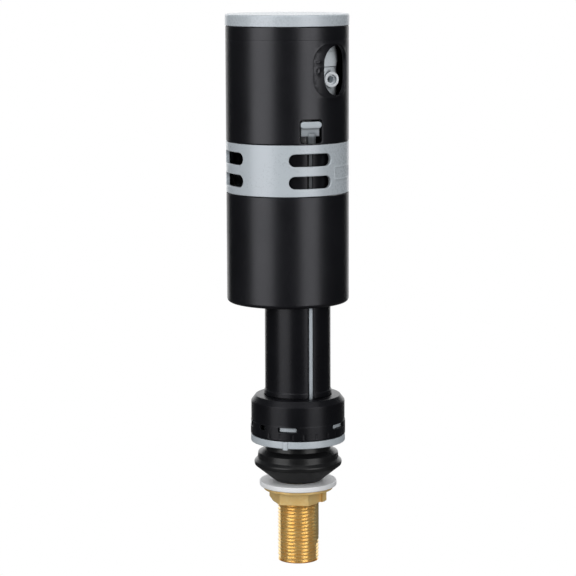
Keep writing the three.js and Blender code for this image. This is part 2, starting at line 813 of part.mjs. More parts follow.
function pilotLever() {
  const beam = block([-3, 3], [8.4, 41], [PIVOT.z - 1.5, PIVOT.z + 1.5]);
  return cut(
    beam,
    bar(1.3, [-7, PIVOT.y, PIVOT.z], [7, PIVOT.y, PIVOT.z], 12),
    cylinder(1.6, PIVOT.z - 3, PIVOT.z + 3, SMALL, 0, HEAD_Y),
  );
}

function levelScrew() {
  const headBottom = PIVOT.z + 1.5 + GAP;
  const head = cylinder(2.4, headBottom, headBottom + 1.6, SMALL, 0, HEAD_Y);
  const shaft = cylinder(1.3, PIVOT.z - 2.5, headBottom + 0.5, SMALL, 0, HEAD_Y);
  const slot = block([-0.35, 0.35], [5, 20], [headBottom + 0.9, headBottom + 3]);
  return cut(join(head, shaft), slot);
}

function drainFlap() {
  const { y, z } = FLAP_PIVOT;
  const pinHoleR = 0.75;
  const disc = cylinder(DRAIN.radius + 1.1, z - 0.1, CUP_BOTTOM - GAP, 28, 0, DRAIN.y);
  const knuckle = block([-2.9, 2.9], [y - 1.1, y + 3], [z - 1.1, z + 0.95]);
  return cut(join(disc, knuckle), bar(pinHoleR, [-6, y, z], [6, y, z], 12));
}

piece("float", WHITE, floatBody());
piece("float_rod", LIGHT_GREY, floatRod());
piece("pilot_lever", LIGHT_GREY, pilotLever());
piece("level_screw", STEEL, levelScrew(), METAL);
piece("lever_pin", STEEL, bar(1, [-6.2, PIVOT.y, PIVOT.z], [6.2, PIVOT.y, PIVOT.z], 16), METAL);
piece("pilot_pin", STEEL, cylinder(1.1, 216.6, 220.9, 16, 0, HEAD_Y), METAL);
piece("pilot_seal", RUBBER, cylinder(1.9, 215.1, 216.3, 16, 0, HEAD_Y), SOFT);
piece("drain_flap", RUBBER, drainFlap(), SOFT);
piece(
  "flap_pin",
  STEEL,
  bar(0.55, [-4.6, FLAP_PIVOT.y, FLAP_PIVOT.z], [4.6, FLAP_PIVOT.y, FLAP_PIVOT.z], 12),
  METAL,
);

export default valve;
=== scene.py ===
"""Looks of the toilet fill valve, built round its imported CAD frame.

Sizes are millimetres in the frame's own axes, and MM turns them into Blender's metres.
Angles are degrees round a vertical axis, from -Y (the front) towards +X.
"""
import math

import bpy
import numpy as np
from mathutils import Euler, Matrix, Vector
from mathutils.geometry import delaunay_2d_cdt

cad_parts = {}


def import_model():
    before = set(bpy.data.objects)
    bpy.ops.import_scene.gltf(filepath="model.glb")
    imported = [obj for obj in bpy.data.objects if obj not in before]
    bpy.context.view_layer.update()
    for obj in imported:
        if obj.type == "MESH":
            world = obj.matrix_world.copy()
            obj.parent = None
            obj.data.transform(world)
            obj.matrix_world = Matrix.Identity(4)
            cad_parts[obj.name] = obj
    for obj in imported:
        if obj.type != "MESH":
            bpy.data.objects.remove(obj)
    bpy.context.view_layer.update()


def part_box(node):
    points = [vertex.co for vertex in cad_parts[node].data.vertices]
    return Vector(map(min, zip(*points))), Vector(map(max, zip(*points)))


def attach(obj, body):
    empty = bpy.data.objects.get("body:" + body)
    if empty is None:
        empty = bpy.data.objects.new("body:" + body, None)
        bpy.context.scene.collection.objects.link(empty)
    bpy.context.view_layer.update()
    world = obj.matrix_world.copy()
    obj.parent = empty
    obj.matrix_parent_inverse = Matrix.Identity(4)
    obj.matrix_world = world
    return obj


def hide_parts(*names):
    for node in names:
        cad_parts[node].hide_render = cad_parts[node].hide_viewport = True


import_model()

MM = 0.001
TURN = 2 * math.pi
UP = np.array([0, 0, 1.0])
SEAM = math.pi * 0.75  # where a wrapped sheet closes, clear of every hole


# ---- Places, from the CAD frame ----
def span(node, axis):
    """Lowest and highest coordinate of a node along an axis, in millimetres."""
    low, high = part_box(node)
    return low[axis] / MM, high[axis] / MM


X, Y, Z = 0, 1, 2
CAP_Z = span("top_cap", Z)
BAND_Z = span("trim_band", Z)
SHANK_Z = span("shank", Z)
HEAD_Y = sum(span("trim_band", Y)) / 2
HEAD_R = (span("trim_band", X)[1] - span("trim_band", X)[0]) / 2
CAP_R = span("top_cap", X)[1]
HEAD_BORE = HEAD_R - 1.8
HEAD_AXIS = (0, HEAD_Y)
HOUSING_WALL_BOTTOM = BAND_Z[1] + 0.3
CUP_BOTTOM = span("lower_cup", Z)[1] - 55.8
STEM_R = 16.6
STEM_CLEAR_R = STEM_R + 0.5
RING_BORE = 10.83  # of every ring on the tail
LEVER_PIVOT = (19.6, 224)  # y and z
FLAP_PIVOT = (26.3, CUP_BOTTOM - 1.5)
DRAIN = (0, 33)  # x and y, as the next two
OUTLET = (-19.8, 10.5)
FLOAT_STUD = (0, 32.5)
WALL_COLUMNS = 180


# ---- Mesh building ----
def placed(name, data):
    piece = bpy.data.objects.new(name, data)
    bpy.context.scene.collection.objects.link(piece)
    return piece


def from_faces(name, points, faces):
    mesh = bpy.data.meshes.new(name)
    mesh.from_pydata(points, [], faces)
    return placed(name, mesh)


class Skin:
    """Surface patches with a normal at every point, welded into one smooth mesh."""

    def __init__(self):
        self.points = []
        self.normals = []
        self.faces = []
        self.count = 0

    def add(self, points, normals, faces):
        points = np.asarray(points, float).reshape(-1, 3)
        self.points.append(points)
        self.normals.append(np.asarray(normals, float).reshape(-1, 3))
        self.faces += [[i + self.count for i in face] for face in faces]
        self.count += len(points)

    def grid(self, points, normals, close_rows=False, close_columns=False):
        """A patch of rows by columns, closed round either way."""
        points = np.asarray(points, float)
        rows, columns = points.shape[:2]
        faces = []
        for i in range(rows if close_rows else rows - 1):
            for j in range(columns if close_columns else columns - 1):
                k, m = (i + 1) % rows, (j + 1) % columns
                faces.append((i * columns + j, i * columns + m, k * columns + m, k * columns + j))
        self.add(points, normals, faces)

    def build(self, name):
        points = np.vstack(self.points)
        normals = np.vstack(self.normals)
        keys = np.round(points * 2000).astype(np.int64)
        _, first, weld = np.unique(keys, axis=0, return_index=True, return_inverse=True)
        weld = weld.reshape(-1)
        shared = np.zeros((len(first), 3))
        np.add.at(shared, weld, normals)
        lengths = np.linalg.norm(shared, axis=1, keepdims=True)
        shared = shared / np.where(lengths < 1e-9, 1, lengths)
        places = points[first]
        faces = []
        for face in self.faces:
            corners = list(dict.fromkeys(int(weld[i]) for i in face))
            if len(corners) < 3:
                continue
            a, b, c = (places[corners[i]] for i in (0, 1, -1))
            across = np.cross(b - a, c - a)
            if across @ shared[corners].sum(0) < 0:
                corners.reverse()
            faces.append(corners)
        mesh = bpy.data.meshes.new(name)
        mesh.from_pydata((places * MM).tolist(), [], faces)
        mesh.polygons.foreach_set("use_smooth", [True] * len(mesh.polygons))
        mesh.update()
        mesh.normals_split_custom_set_from_vertices(shared.tolist())
        return placed(name, mesh)


def around(angle):
    """Outward and sideways unit vectors at an angle in radians."""
    angle = np.asarray(angle, float)
    zero = np.zeros_like(angle)
    outward = np.stack([np.sin(angle), -np.cos(angle), zero], -1)
    sideways = np.stack([np.cos(angle), np.sin(angle), zero], -1)
    return outward, sideways


def rounded(corners, steps=5):
    """A closed anticlockwise profile of (r, z, radius) corners: its points and outward normals."""
    points, normals = [], []
    for i, (r, z, radius) in enumerate(corners):
        here = np.array((r, z), float)
        incoming = here - corners[i - 1][:2]
        outgoing = np.array(corners[(i + 1) % len(corners)][:2]) - here
        room = 0.49 * min(np.hypot(*incoming), np.hypot(*outgoing))
        incoming, outgoing = incoming / np.hypot(*incoming), outgoing / np.hypot(*outgoing)
        turn = math.atan2(incoming[0] * outgoing[1] - incoming[1] * outgoing[0], incoming @ outgoing)
        side = 1 if turn > 0 else -1
        radius = min(radius, room / max(1e-6, abs(math.tan(turn / 2))))
        normal = np.array((incoming[1], -incoming[0]))
        centre = here - incoming * radius * abs(math.tan(turn / 2)) - side * normal * radius
        for k in range(steps + 1):
            c, d = math.cos(turn * k / steps), math.sin(turn * k / steps)
            facing = np.array((normal[0] * c - normal[1] * d, normal[0] * d + normal[1] * c))
            if radius > 1e-6 or k in (0, steps):
                points.append(centre + side * facing * radius)
                normals.append(facing)
    return np.array(points), np.array(normals)


def swept(points, normals, angle, centre):
    """A profile of (r, z) points and normals carried to each angle round a vertical axis."""
    outward = around(angle)[0][None]
    place = outward * points[:, None, :1] + UP * points[:, None, 1:] + np.array([*centre, 0.0])
    return place, outward * normals[:, None, :1] + UP * normals[:, None, 1:]


def turned_patch(skin, points, normals, facets, centre=(0, 0), closed=True):
    place, facing = swept(points, normals, np.arange(facets) * TURN / facets, centre)
    skin.grid(place, facing, close_rows=closed, close_columns=True)


def turned(name, corners, facets=160, centre=(0, 0), steps=5):
    """A closed profile of (r, z, corner radius) swept round a vertical axis."""
    skin = Skin()
    points, normals = rounded(corners, steps)
    turned_patch(skin, points, normals, facets, centre)
    return skin.build(name)


class Outline:
    """A rounded rectangle on a cylinder: angle and height of its centre, half sizes and corner radius."""

    def __init__(self, angle, z, half_width, half_height, corner, radius):
        self.angle = math.radians(angle)
        self.z = z
        self.half = (half_width, half_height)
        self.corner = min(corner, half_width, half_height)
        self.radius = radius

    def loop(self, grow=0.0, quarter=7, step=1.6):
        """Points as (angle, z) and outward directions as (sideways, up)."""
        flat = [self.half[0] - self.corner, self.half[1] - self.corner]
        r = self.corner + grow
        signs = [(1, 1), (-1, 1), (-1, -1), (1, -1)]
        points, normals = [], []
        for i, (sx, sy) in enumerate(signs):
            for k in range(quarter + 1):
                a = (i + k / quarter) * math.pi / 2
                normal = (math.cos(a), math.sin(a))
                points.append((sx * flat[0] + r * normal[0], sy * flat[1] + r * normal[1]))
                normals.append(normal)
            following = signs[(i + 1) % 4]
            length = 2 * (flat[0] if sx != following[0] else flat[1])
            pieces = max(1, round(length / step))
            for k in range(1, pieces):
                t = k / pieces
                x = (sx + (following[0] - sx) * t) * flat[0]
                y = (sy + (following[1] - sy) * t) * flat[1]
                points.append((x + r * normal[0], y + r * normal[1]))
                normals.append(normal)
        kept = [i for i, point in enumerate(points) if math.dist(point, points[i - 1]) > 1e-6]
        places = [(self.angle + points[i][0] / self.radius, self.z + points[i][1]) for i in kept]
        return np.array(places), np.array([normals[i] for i in kept])

    def distance(self, angle, z):
        """Signed distance from the outline, negative inside it."""
        turn = (angle - self.angle + math.pi) % TURN - math.pi
        x = np.abs(turn * self.radius) - (self.half[0] - self.corner)
        y = np.abs(z - self.z) - (self.half[1] - self.corner)
        outside = np.hypot(np.maximum(x, 0), np.maximum(y, 0))
        return outside + np.minimum(np.maximum(x, y), 0) - self.corner


def pierced(skin, radius_at, heights, holes, margin, inward, centre, columns, loops=()):
    """A cylindrical face with holes: a triangulated sheet wrapped round the axis.

    radius_at(angle, z) is its radius. The holes' edges stand `margin` outside their outlines,
    and `loops` are (outline, distance) pairs that the triangles follow too.
    """
    low, high = heights[0], heights[-1]
    step = TURN / columns
    start = round(SEAM / step) * step
    scale = holes[0].radius

    keep = []
    for x, z in [(k * step * scale, z) for z in heights for k in range(columns + 1)]:
        angle = start + x / scale
        near = min((float(h.distance(angle, z)) for h in holes), default=9)
        close = min((abs(float(o.distance(angle, z)) - g) for o, g in loops), default=9)
        border = z in (low, high) or x in (0, columns * step * scale)
        if border or (near > margin + 0.35 and close > 0.2):
            keep.append((x, z))
    edges = []
    for outline, distance in [(hole, margin) for hole in holes] + list(loops):
        loop = outline.loop(distance)[0]
        first = len(keep)
        keep += [(float((a - start) % TURN) * scale, float(z)) for a, z in loop]
        size = len(loop)
        edges += [(first + i, first + (i + 1) % size) for i in range(size)]
    found = delaunay_2d_cdt([Vector(p) for p in keep], edges, [], 0, 1e-6, False)
    flat = np.array([tuple(p) for p in found[0]])
    faces = []
    for face in found[2]:
        x, z = flat[list(face)].mean(0)
        if all(float(h.distance(start + x / scale, z)) > margin - 1e-3 for h in holes):
            faces.append(face)
    place, facing = wrapped(start + flat[:, 0] / scale, flat[:, 1], radius_at, centre)
    skin.add(place, -facing if inward else facing, faces)


def wrapped(angle, z, radius_at, centre):
    """Points and outward normals of the surface radius_at(angle, z)."""
    tiny = 1e-4
    radius = radius_at(angle, z)
    along = (radius_at(angle + tiny, z) - radius_at(angle - tiny, z)) / (2 * tiny) / radius
    upward = (radius_at(angle, z + tiny) - radius_at(angle, z - tiny)) / (2 * tiny)
    outward, sideways = around(angle)
    place = outward * radius[:, None] + UP * z[:, None] + np.array([*centre, 0.0])
    facing = outward - sideways * along[:, None] - UP * upward[:, None]
    return place, facing / np.linalg.norm(facing, axis=1, keepdims=True)


def rim(skin, hole, outer_at, inner_at, outer_edge, inner_edge, centre, steps=4):
    """The wall of a hole from the outer face to the inner face, with rounded edges."""
    rows = []
    for k in range(steps + 1):
        t = k / steps * math.pi / 2
        rows.append((outer_edge * (1 - math.sin(t)), outer_at, -outer_edge * (1 - math.cos(t)), t))
    for k in range(steps, -1, -1):
        t = k / steps * math.pi / 2
        rows.append((inner_edge * (1 - math.sin(t)), inner_at, inner_edge * (1 - math.cos(t)), math.pi - t))
    places, facings = [], []
    for grow, radius_at, lift, tilt in rows:
        loop, normals = hole.loop(grow)
        angle, z = loop.T
        outward, sideways = around(angle)
        radius = radius_at(angle, z) + lift
        places.append(outward * radius[:, None] + UP * z[:, None] + np.array([*centre, 0.0]))
        away = sideways * normals[:, :1] + UP * normals[:, 1:]
        facings.append(math.cos(tilt) * outward - math.sin(tilt) * away)
    skin.grid(np.array(places), np.array(facings), close_columns=True)


def constant(radius):
    return lambda angle, z: np.full(np.shape(angle), float(radius))


# ---- Procedural materials ----
def fill(tree, node, inputs):
    """Links each named input to a socket, or sets it to a value."""
    for name, value in inputs.items():
        if isinstance(value, bpy.types.NodeSocket):
            tree.links.new(value, node.inputs[name])
        else:
            node.inputs[name].default_value = value


def add_node(tree, kind, inputs=None, **settings):
    node = tree.nodes.new("ShaderNode" + kind)
    for name, value in settings.items():
        setattr(node, name, value)
    fill(tree, node, inputs or {})
    return node


class Look:
    """A material being made: helpers that add nodes in the object's own coordinates."""

    def __init__(self, name):
        self.material = bpy.data.materials.new(name)
        self.material.use_nodes = True
        self.tree = self.material.node_tree
        self.places = self.add("TexCoord").outputs["Object"]

    def add(self, kind, inputs=None, **settings):
        return add_node(self.tree, kind, inputs, **settings)

    def surface(self, inputs):
        fill(self.tree, self.tree.nodes["Principled BSDF"], inputs)
        return self.material

    def noise(self, scale, detail=3.0, roughness=0.55, stretch=(1, 1, 1)):
        mapped = self.add("Mapping", {"Vector": self.places, "Scale": stretch})
        texture = {"Vector": mapped.outputs["Vector"], "Scale": scale, "Detail": detail}
        return self.add("TexNoise", {**texture, "Roughness": roughness}).outputs["Fac"]

    def spread(self, value, low, high, from_low=0.3, from_high=0.7):
        """A value carried from one range, by default a noise's, to another."""
        limits = {"From Min": from_low, "From Max": from_high, "To Min": low, "To Max": high}
        return self.add("MapRange", {**limits, "Value": value}).outputs["Result"]

    def mixed(self, value, first, second):
        """A colour between two; each is a socket, or red, green and blue."""
        ends = [c if isinstance(c, bpy.types.NodeSocket) else (*c, 1) for c in (first, second)]
        sockets = {"Factor": value, "A": ends[0], "B": ends[1]}
        return self.add("Mix", sockets, data_type="RGBA").outputs["Result"]

    def height(self):
        return self.add("SeparateXYZ", {0: self.places}).outputs["Z"]

    def bump(self, *layers):
        """Stacked bumps of (height value, height in metres)."""
        below = {}
        for value, depth in layers:
            node = self.add("Bump", {"Strength": 1.0, "Distance": depth, "Height": value, **below})
            below = {"Normal": node.outputs["Normal"]}
        self.surface(below)


def scaled(colour, factor):
    return tuple(min(1, c * factor) for c in colour)


def moulded(name, colour, roughness, grain, tone=0.06, specular=0.5, shade=None, heights=()):
    """Injection-moulded plastic: faint tone and gloss changes, a fine skin and flow waviness.

    shade is the colour's share left in closed corners, as painted corner shade from ambient occlusion, and
    heights are (millimetres, share) steps of painted shade by height.
    """
    look = Look(name)
    cloud = look.noise(45)
    skin = look.noise(2600, detail=2)
    flow = look.noise(180, detail=2)
    scuff = look.noise(900, detail=5, roughness=0.7)
    tint = look.mixed(look.spread(cloud, 0, 1), scaled(colour, 1 - tone), scaled(colour, 1 + tone))
    if shade is not None:
        # painted shade: the colour darkens towards its shade share in corners and recesses, by ambient
        # occlusion
        open_sky = look.add("AmbientOcclusion", {"Distance": CORNER_REACH}, samples=6).outputs["AO"]
        tint = look.mixed(look.spread(open_sky, 0, 1, 0.2, 0.8), scaled(colour, shade), tint)
    if heights:
        tint = shaded_by_height(look, tint, heights)
    gloss = {0: look.spread(scuff, roughness - 0.03, roughness + 0.05), 1: look.spread(cloud, -0.02, 0.02)}
    look.bump((skin, grain), (flow, FLOW_DEPTH), (scuff, grain * 0.25))
    return look.surface({
        "Base Color": tint, "Roughness": look.add("Math", gloss, operation="ADD").outputs[0],
        "Specular IOR Level": specular, "Specular Tint": (0.94, 0.94, 1.0, 1),
    })


def shaded_by_height(look, tint, steps):
    """A colour times a factor that follows (height in millimetres, factor) steps: painted shade by height."""
    share = look.add("Math", {0: look.height(), 1: RAMP_HEIGHT * MM}, operation="DIVIDE")
    ramp = look.add("ValToRGB", {"Fac": share.outputs[0]})
    elements = ramp.color_ramp.elements
    while len(elements) < len(steps):
        elements.new(0.5)
    for element, (z, _) in zip(elements, steps):
        element.position = z / RAMP_HEIGHT
    for element, (_, factor) in zip(elements, steps):
        element.color = (factor, factor, factor, 1)
    return look.add("VectorMath", {0: tint, 1: ramp.outputs["Color"]}, operation="MULTIPLY").outputs[0]


def rubber(name, colour):
    """Moulded rubber: a faint bloom, a fine skin, and a duller face on the cone's lower flank."""
    look = Look(name)
    bloom = look.noise(120, detail=5, roughness=0.7)
    fine = look.noise(3200, detail=3)
    look.bump((fine, 1.6e-5), (bloom, 1.5e-5))
    return look.surface({
        "Base Color": look.mixed(look.spread(bloom, 0, 1), colour, scaled(colour, 1.9)),
        "Roughness": look.spread(look.height(), 0.56, 0.30, 0.0085, 0.0098),
        "Specular IOR Level": 0.35,
    })


def metal(name, colour, shade, roughness, grain, turning=0.0, metallic=1.0):
    """Machined or forged metal: tone changes, fine grain and, if turned, lathe lines."""
    look = Look(name)
    tone = look.noise(260, detail=5, roughness=0.65)
    fine = look.noise(2400, detail=4, roughness=0.7)
    lines = look.noise(40, detail=4, roughness=0.8, stretch=(1, 1, 160))
    look.bump((fine, grain), (lines, turning))
    return look.surface({
        "Base Color": look.mixed(look.spread(tone, 0, 1), shade, colour),
        "Roughness": look.spread(fine, roughness - 0.06, roughness + 0.1),
        "Metallic": metallic,
    })


CORNER_REACH = 0.011  # how far a corner's shade reaches, in metres
FLOW_DEPTH = 2e-6
RAMP_HEIGHT = 240.0
# painted shadow on the height rod: darker where it runs behind the band, and on its neck and shoulder
ROD_SHADOW_STEPS = [(145, 1.0), (148, 0.12), (176.2, 0.14), (176.8, 0.55), (180.5, 0.7), (181.4, 1.0)]

BLACK = moulded("black_plastic", (0.0045, 0.0046, 0.0062), 0.32, 5e-6, tone=0.15)
BLACK_SATIN = moulded("black_satin", (0.0045, 0.0046, 0.0060), 0.30, 6e-6, tone=0.15, specular=0.27)
GREY = moulded("grey_plastic", (0.53, 0.58, 0.62), 0.28, 7e-6, tone=0.02, specular=0.75, shade=0.16)
# the rod's grey, with painted corner shade and the painted shadow steps
GREY_ROD = moulded(
    "grey_rod", (0.50, 0.55, 0.59), 0.36, 7e-6, tone=0.02, specular=0.25, shade=0.3, heights=ROD_SHADOW_STEPS,
)
# painted light: lighter copies of the grey plastic for the parts seen through the window, making up for the
# dim light inside the housing; the nozzle's copy has no painted corner shade
GREY_INNER = moulded("grey_inner", (0.74, 0.79, 0.83), 0.34, 7e-6, tone=0.02, shade=0.35)
GREY_NOZZLE = moulded("grey_nozzle", (0.80, 0.84, 0.87), 0.36, 7e-6, tone=0.02)
WHITE = moulded("white_plastic", (0.94, 0.95, 0.96), 0.42, 8e-6, tone=0.02)
RUBBER = rubber("rubber", (0.006, 0.006, 0.0063))
BRASS_TURNED = metal(
    "brass_turned", (1.0, 0.76, 0.34), (0.95, 0.63, 0.23), 0.19, 4e-6, turning=2e-6, metallic=0.72,
)
BRASS_FORGED = metal("brass_forged", (1.0, 0.74, 0.33), (0.94, 0.62, 0.22), 0.40, 4e-5, metallic=0.28)
STEEL = metal("steel", (0.62, 0.62, 0.63), (0.5, 0.5, 0.51), 0.3, 8e-6, turning=6e-6)


# ---- Head shells ----
def levels(low, high, step, *extra):
    """Heights from low to high, about a step apart, with extra ones put in."""
    even = np.linspace(low, high, max(2, round((high - low) / step) + 1))
    kept = [z for z in even if all(abs(z - e) > 0.02 for e in extra)]
    return sorted({round(float(z), 4) for z in [*kept, *extra]})


def smooth_step(low, high, x):
    t = np.clip((x - low) / (high - low), 0, 1)
    return t * t * (3 - 2 * t)


def pierced_tube(
    name, heights, holes, outer_at, inner_at, axis=HEAD_AXIS, loops=(), edge=0.4, hole_edge=0.45,
    columns=WALL_COLUMNS, top=None,
):
    """A thin tube with holes through it and every edge rounded; top is its upper end's profile."""
    low, high = heights[0], heights[-1]
    inner_edge = 0.25
    skin = Skin()
    inside = [z for z in heights if low + edge < z < high - edge]
    rows = [low + edge, *inside, high - edge]
    pierced(skin, outer_at, rows, holes, hole_edge, False, axis, columns, loops)
    pierced(skin, inner_at, rows, holes, inner_edge, True, axis, columns)
    for hole in holes:
        rim(skin, hole, outer_at, inner_at, hole_edge, inner_edge, axis)
    zero = np.zeros(1)
    for z, away in (low, -1), (high, 1):
        outer = float(outer_at(zero, zero + z - away * edge)[0])
        inner = float(inner_at(zero, zero + z - away * edge)[0])
        wall = z - away * 3
        corners, spare = [(outer, wall, 0), (outer, z, edge), (inner, z, edge), (inner, wall, 0)], 2
        if top and away > 0:
            corners, spare = top, 1
        points, normals = rounded(corners[::-1] if away < 0 else corners, 4)
        turned_patch(skin, points[spare:-spare], normals[spare:-spare], columns, axis, closed=False)
    return skin.build(name)


def raised(angle, z, outline, half_width, height):
    """Height added by a bead along an outline."""
    return height * np.clip(1 - (outline.distance(angle, z) / half_width) ** 2, 0, 1)


def bead_loops(outline, half_width):
    return [(outline, half_width * share) for share in (-1.0, -0.6, 0.0, 0.6, 1.0)]


def upper_housing():
    """The wall above the band: an oval window, the rod's slot and faint embossed marks."""
    window = Outline(30.7, 208.5, 9.2, 12.5, 9.2, HEAD_R)
    slot_bottom, slot_top = HOUSING_WALL_BOTTOM + 0.45, 184.7
    slot = Outline(0, (slot_top + slot_bottom) / 2, 6.0, (slot_top - slot_bottom) / 2, 1.6, HEAD_R)
    frame_outline = Outline(24.5, 208.5, 12.6, 13.3, 9.5, HEAD_R)
    ring_mark = Outline(6.4, 208.8, 1.0, 1.25, 1.0, HEAD_R)
    bar_mark = Outline(6.4, 213.2, 1.1, 0.45, 0.45, HEAD_R)
    seam = 223.4
    beads = [(frame_outline, 0.3, 0.045), (ring_mark, 0.3, 0.07), (bar_mark, 0.3, 0.07)]

    def outer_at(angle, z):
        radius = np.full(np.shape(angle), float(HEAD_R))
        for bead in beads:
            radius = radius + raised(angle, z, *bead)
        radius = np.where(window.distance(angle, z) < 0.7, HEAD_R, radius)
        return radius - 0.06 * np.exp(-((z - seam) / 0.25) ** 2)

    loops = [loop for outline, half_width, _ in beads for loop in bead_loops(outline, half_width)]
    seam_rows = [seam + d for d in (-0.5, -0.25, 0, 0.25, 0.5)]
    heights = levels(HOUSING_WALL_BOTTOM, span("upper_housing", Z)[1], 3.2, *seam_rows)
    return pierced_tube("upper_housing", heights, [window, slot], outer_at, constant(HEAD_BORE), loops=loops)


def housing_skirt():
    """The wall inside the band: four pieces, open for the stem, the float rod and the sides."""
    skin = Skin()
    inner, outer, step, step_z = 27.2, 28.9, 29.6, 173.4
    profile = [
        (inner, 149, 0.3), (outer, 149, 0.3), (outer, step_z, 0), (step, step_z, 0), (step, 176.2, 0),
        (inner, 174, 0),
    ]
    points, normals = rounded(profile, 3)
    for first, last in ((29, 66), (114, 174), (186, 246), (294, 331)):
        angle = np.radians(np.linspace(first, last, 32))
        place, facing = swept(points, normals, angle, HEAD_AXIS)
        skin.grid(place, facing, close_rows=True)
        for end, sign in ((0, -1), (-1, 1)):
            count = len(points)
            away = sign * around(angle)[1][end]
            skin.add(place[:, end], np.tile(away, (count, 1)), [list(range(count))])
    return skin.build("housing_skirt")


def trim_band():
    holes = [Outline(a, z, 11.6, 3.1, 3.1, HEAD_R) for a in (0, 90, 180, -90) for z in (164.8, 153.75)]
    plate = Outline(41, 157.6, 7.6, 3.1, 0.5, HEAD_R)

    def outer_at(angle, z):
        return HEAD_R + raised(angle, z, plate, 0.3, 0.12)

    return pierced_tube(
        "trim_band", levels(*BAND_Z, 2.2), holes, outer_at, constant(HEAD_BORE),
        loops=bead_loops(plate, 0.3), edge=0.3, hole_edge=0.5,
    )


def modified(piece, kind, **settings):
    """Puts a modifier on a piece and makes it real, so that the piece can be joined to others."""
    modifier = piece.modifiers.new(kind, kind)
    for name, value in settings.items():
        setattr(modifier, name, value)
    graph = bpy.context.evaluated_depsgraph_get()
    piece.data = bpy.data.meshes.new_from_object(piece.evaluated_get(graph))
    piece.modifiers.clear()
    return piece


def joined(base, *tools, operation="UNION"):
    """Booleans applied to base, which use the tools up."""
    for tool in tools:
        modified(base, "BOOLEAN", operation=operation, solver="EXACT", object=tool)
        bpy.data.objects.remove(tool)
    return base


def cut(base, *tools):
    return joined(base, *tools, operation="DIFFERENCE")


def smoothed(piece, degrees=32):
    """Smooth shading with normals that lean towards the large faces, and sharp corners kept."""
    mesh = piece.data
    mesh.polygons.foreach_set("use_smooth", [True] * len(mesh.polygons))
    mesh.set_sharp_from_angle(angle=math.radians(degrees))
    modifier = piece.modifiers.new("normals", "WEIGHTED_NORMAL")
    modifier.keep_sharp = True
    modifier.weight = 80
    return piece


def lower_cup():
    """The cup below the band, its inner tube round the stem, and the flap's hinge lugs."""
    low, high = CUP_BOTTOM, BAND_Z[0] - 0.3
    floor = low + 2
    cup = turned(
        "lower_cup",
        [
            (0, low, 0), (HEAD_R, low, 2.0), (HEAD_R, high, 0.35), (HEAD_BORE, high, 0.35),
            (HEAD_BORE, floor, 1), (0, floor, 0),
        ],
        WALL_COLUMNS, HEAD_AXIS, steps=8,
    )
    clear, tube_top = STEM_CLEAR_R, 138
    inner, outer = clear - 1, clear + 1.4
    inner_tube = turned(
        "inner_tube",
        [(inner, low + 0.8, 0), (outer, low + 0.8, 0), (outer, tube_top, 0.3), (inner, tube_top, 0)], 120,
    )
    keep = plug("keep", HEAD_R - 0.5, low - 5, 150, HEAD_AXIS, WALL_COLUMNS)
    hinge_y, hinge_z = FLAP_PIVOT
    lugs = [
        box("lug", (x - 0.7, x + 0.7), (hinge_y - 1.1, hinge_y + 1.1), (low - 2.6, low + 0.5), 0.25)
        for x in (-3.9, 3.9)
    ]
    joined(cup, joined(inner_tube, keep, operation="INTERSECT"), *lugs)
    bore = turned(
        "bore",
        [(0, low - 3, 0), (clear + 0.6, low - 3, 0), (clear, low + 0.35, 0), (clear, 140, 0), (0, 140, 0)],
        120,
    )
    drain = plug("drain", 4.5, low - 1, floor + 3, DRAIN)
    outlet = plug("outlet", 3.2, low - 1, floor + 3, OUTLET)
    hinge = level_bar("hinge", 0.85, (-6, 6), hinge_y, hinge_z)
    return smoothed(cut(cup, bore, drain, outlet, hinge))


def top_cap():
    low, high = CAP_Z[1] - 5.75, CAP_Z[1]
    bore = HEAD_BORE + 0.2
    cap = turned(
        "top_cap",
        [
            (0, high - 2, 0), (bore, high - 2, 0.5), (bore, low, 0.3), (CAP_R, low, 0.3),
            (CAP_R, high, 1.0), (0, high, 0),
        ],
        200, HEAD_AXIS,
    )
    clips = [
        sector("clip", 27.2, HEAD_BORE - 0.4, a - 12, a + 12, CAP_Z[0], high - 1.6, 0.3, HEAD_Y)
        for a in (-135, -45, 45, 135)
    ]
    return smoothed(joined(cap, *clips))


# ---- Plain solids, for booleans and small pieces ----
def box(name, x, y, z, bevel=0.0):
    """A block between pairs of limits, with rounded edges."""
    corners = [(a * MM, b * MM, c * MM) for c in z for b in y for a in x]
    faces = [(0, 2, 3, 1), (4, 5, 7, 6), (0, 1, 5, 4), (2, 6, 7, 3), (0, 4, 6, 2), (1, 3, 7, 5)]
    return bevelled(from_faces(name, corners, faces), bevel)


def bevelled(piece, width, segments=3, degrees=30):
    """Rounded edges, where faces meet at more than an angle."""
    if not width:
        return piece
    limit = {"limit_method": "ANGLE", "angle_limit": math.radians(degrees)}
    return modified(piece, "BEVEL", width=width * MM, segments=segments, **limit)


def prism(name, outline, bottom, top, bevel=0.0):
    """An upright prism on a list of (x, y) points."""
    count = len(outline)
    points = [(x * MM, y * MM, z * MM) for z in (bottom, top) for x, y in outline]
    faces = [tuple(reversed(range(count))), tuple(range(count, 2 * count))]
    faces += [(i, (i + 1) % count, (i + 1) % count + count, i + count) for i in range(count)]
    return bevelled(from_faces(name, points, faces), bevel)


def sector(name, inner, outer, first, last, bottom, top, bevel=0.0, y=0.0):
    """A part of a ring between two angles, round an axis at a given y."""
    count = max(1, round((last - first) / 3))
    outline = []
    for radius, start, end in (outer, first, last), (inner, last, first):
        angles = [math.radians(start + (end - start) * k / count) for k in range(count + 1)]
        outline += [(radius * math.sin(a), y - radius * math.cos(a)) for a in angles]
    return prism(name, outline, bottom, top, bevel)


def plug(name, radius, bottom, top, centre=(0, 0), facets=48, edge=0.0):
    """A plain round bar standing upright."""
    corners = [(0, bottom, 0), (radius, bottom, edge), (radius, top, edge), (0, top, 0)]
    return turned(name, corners, facets, centre)


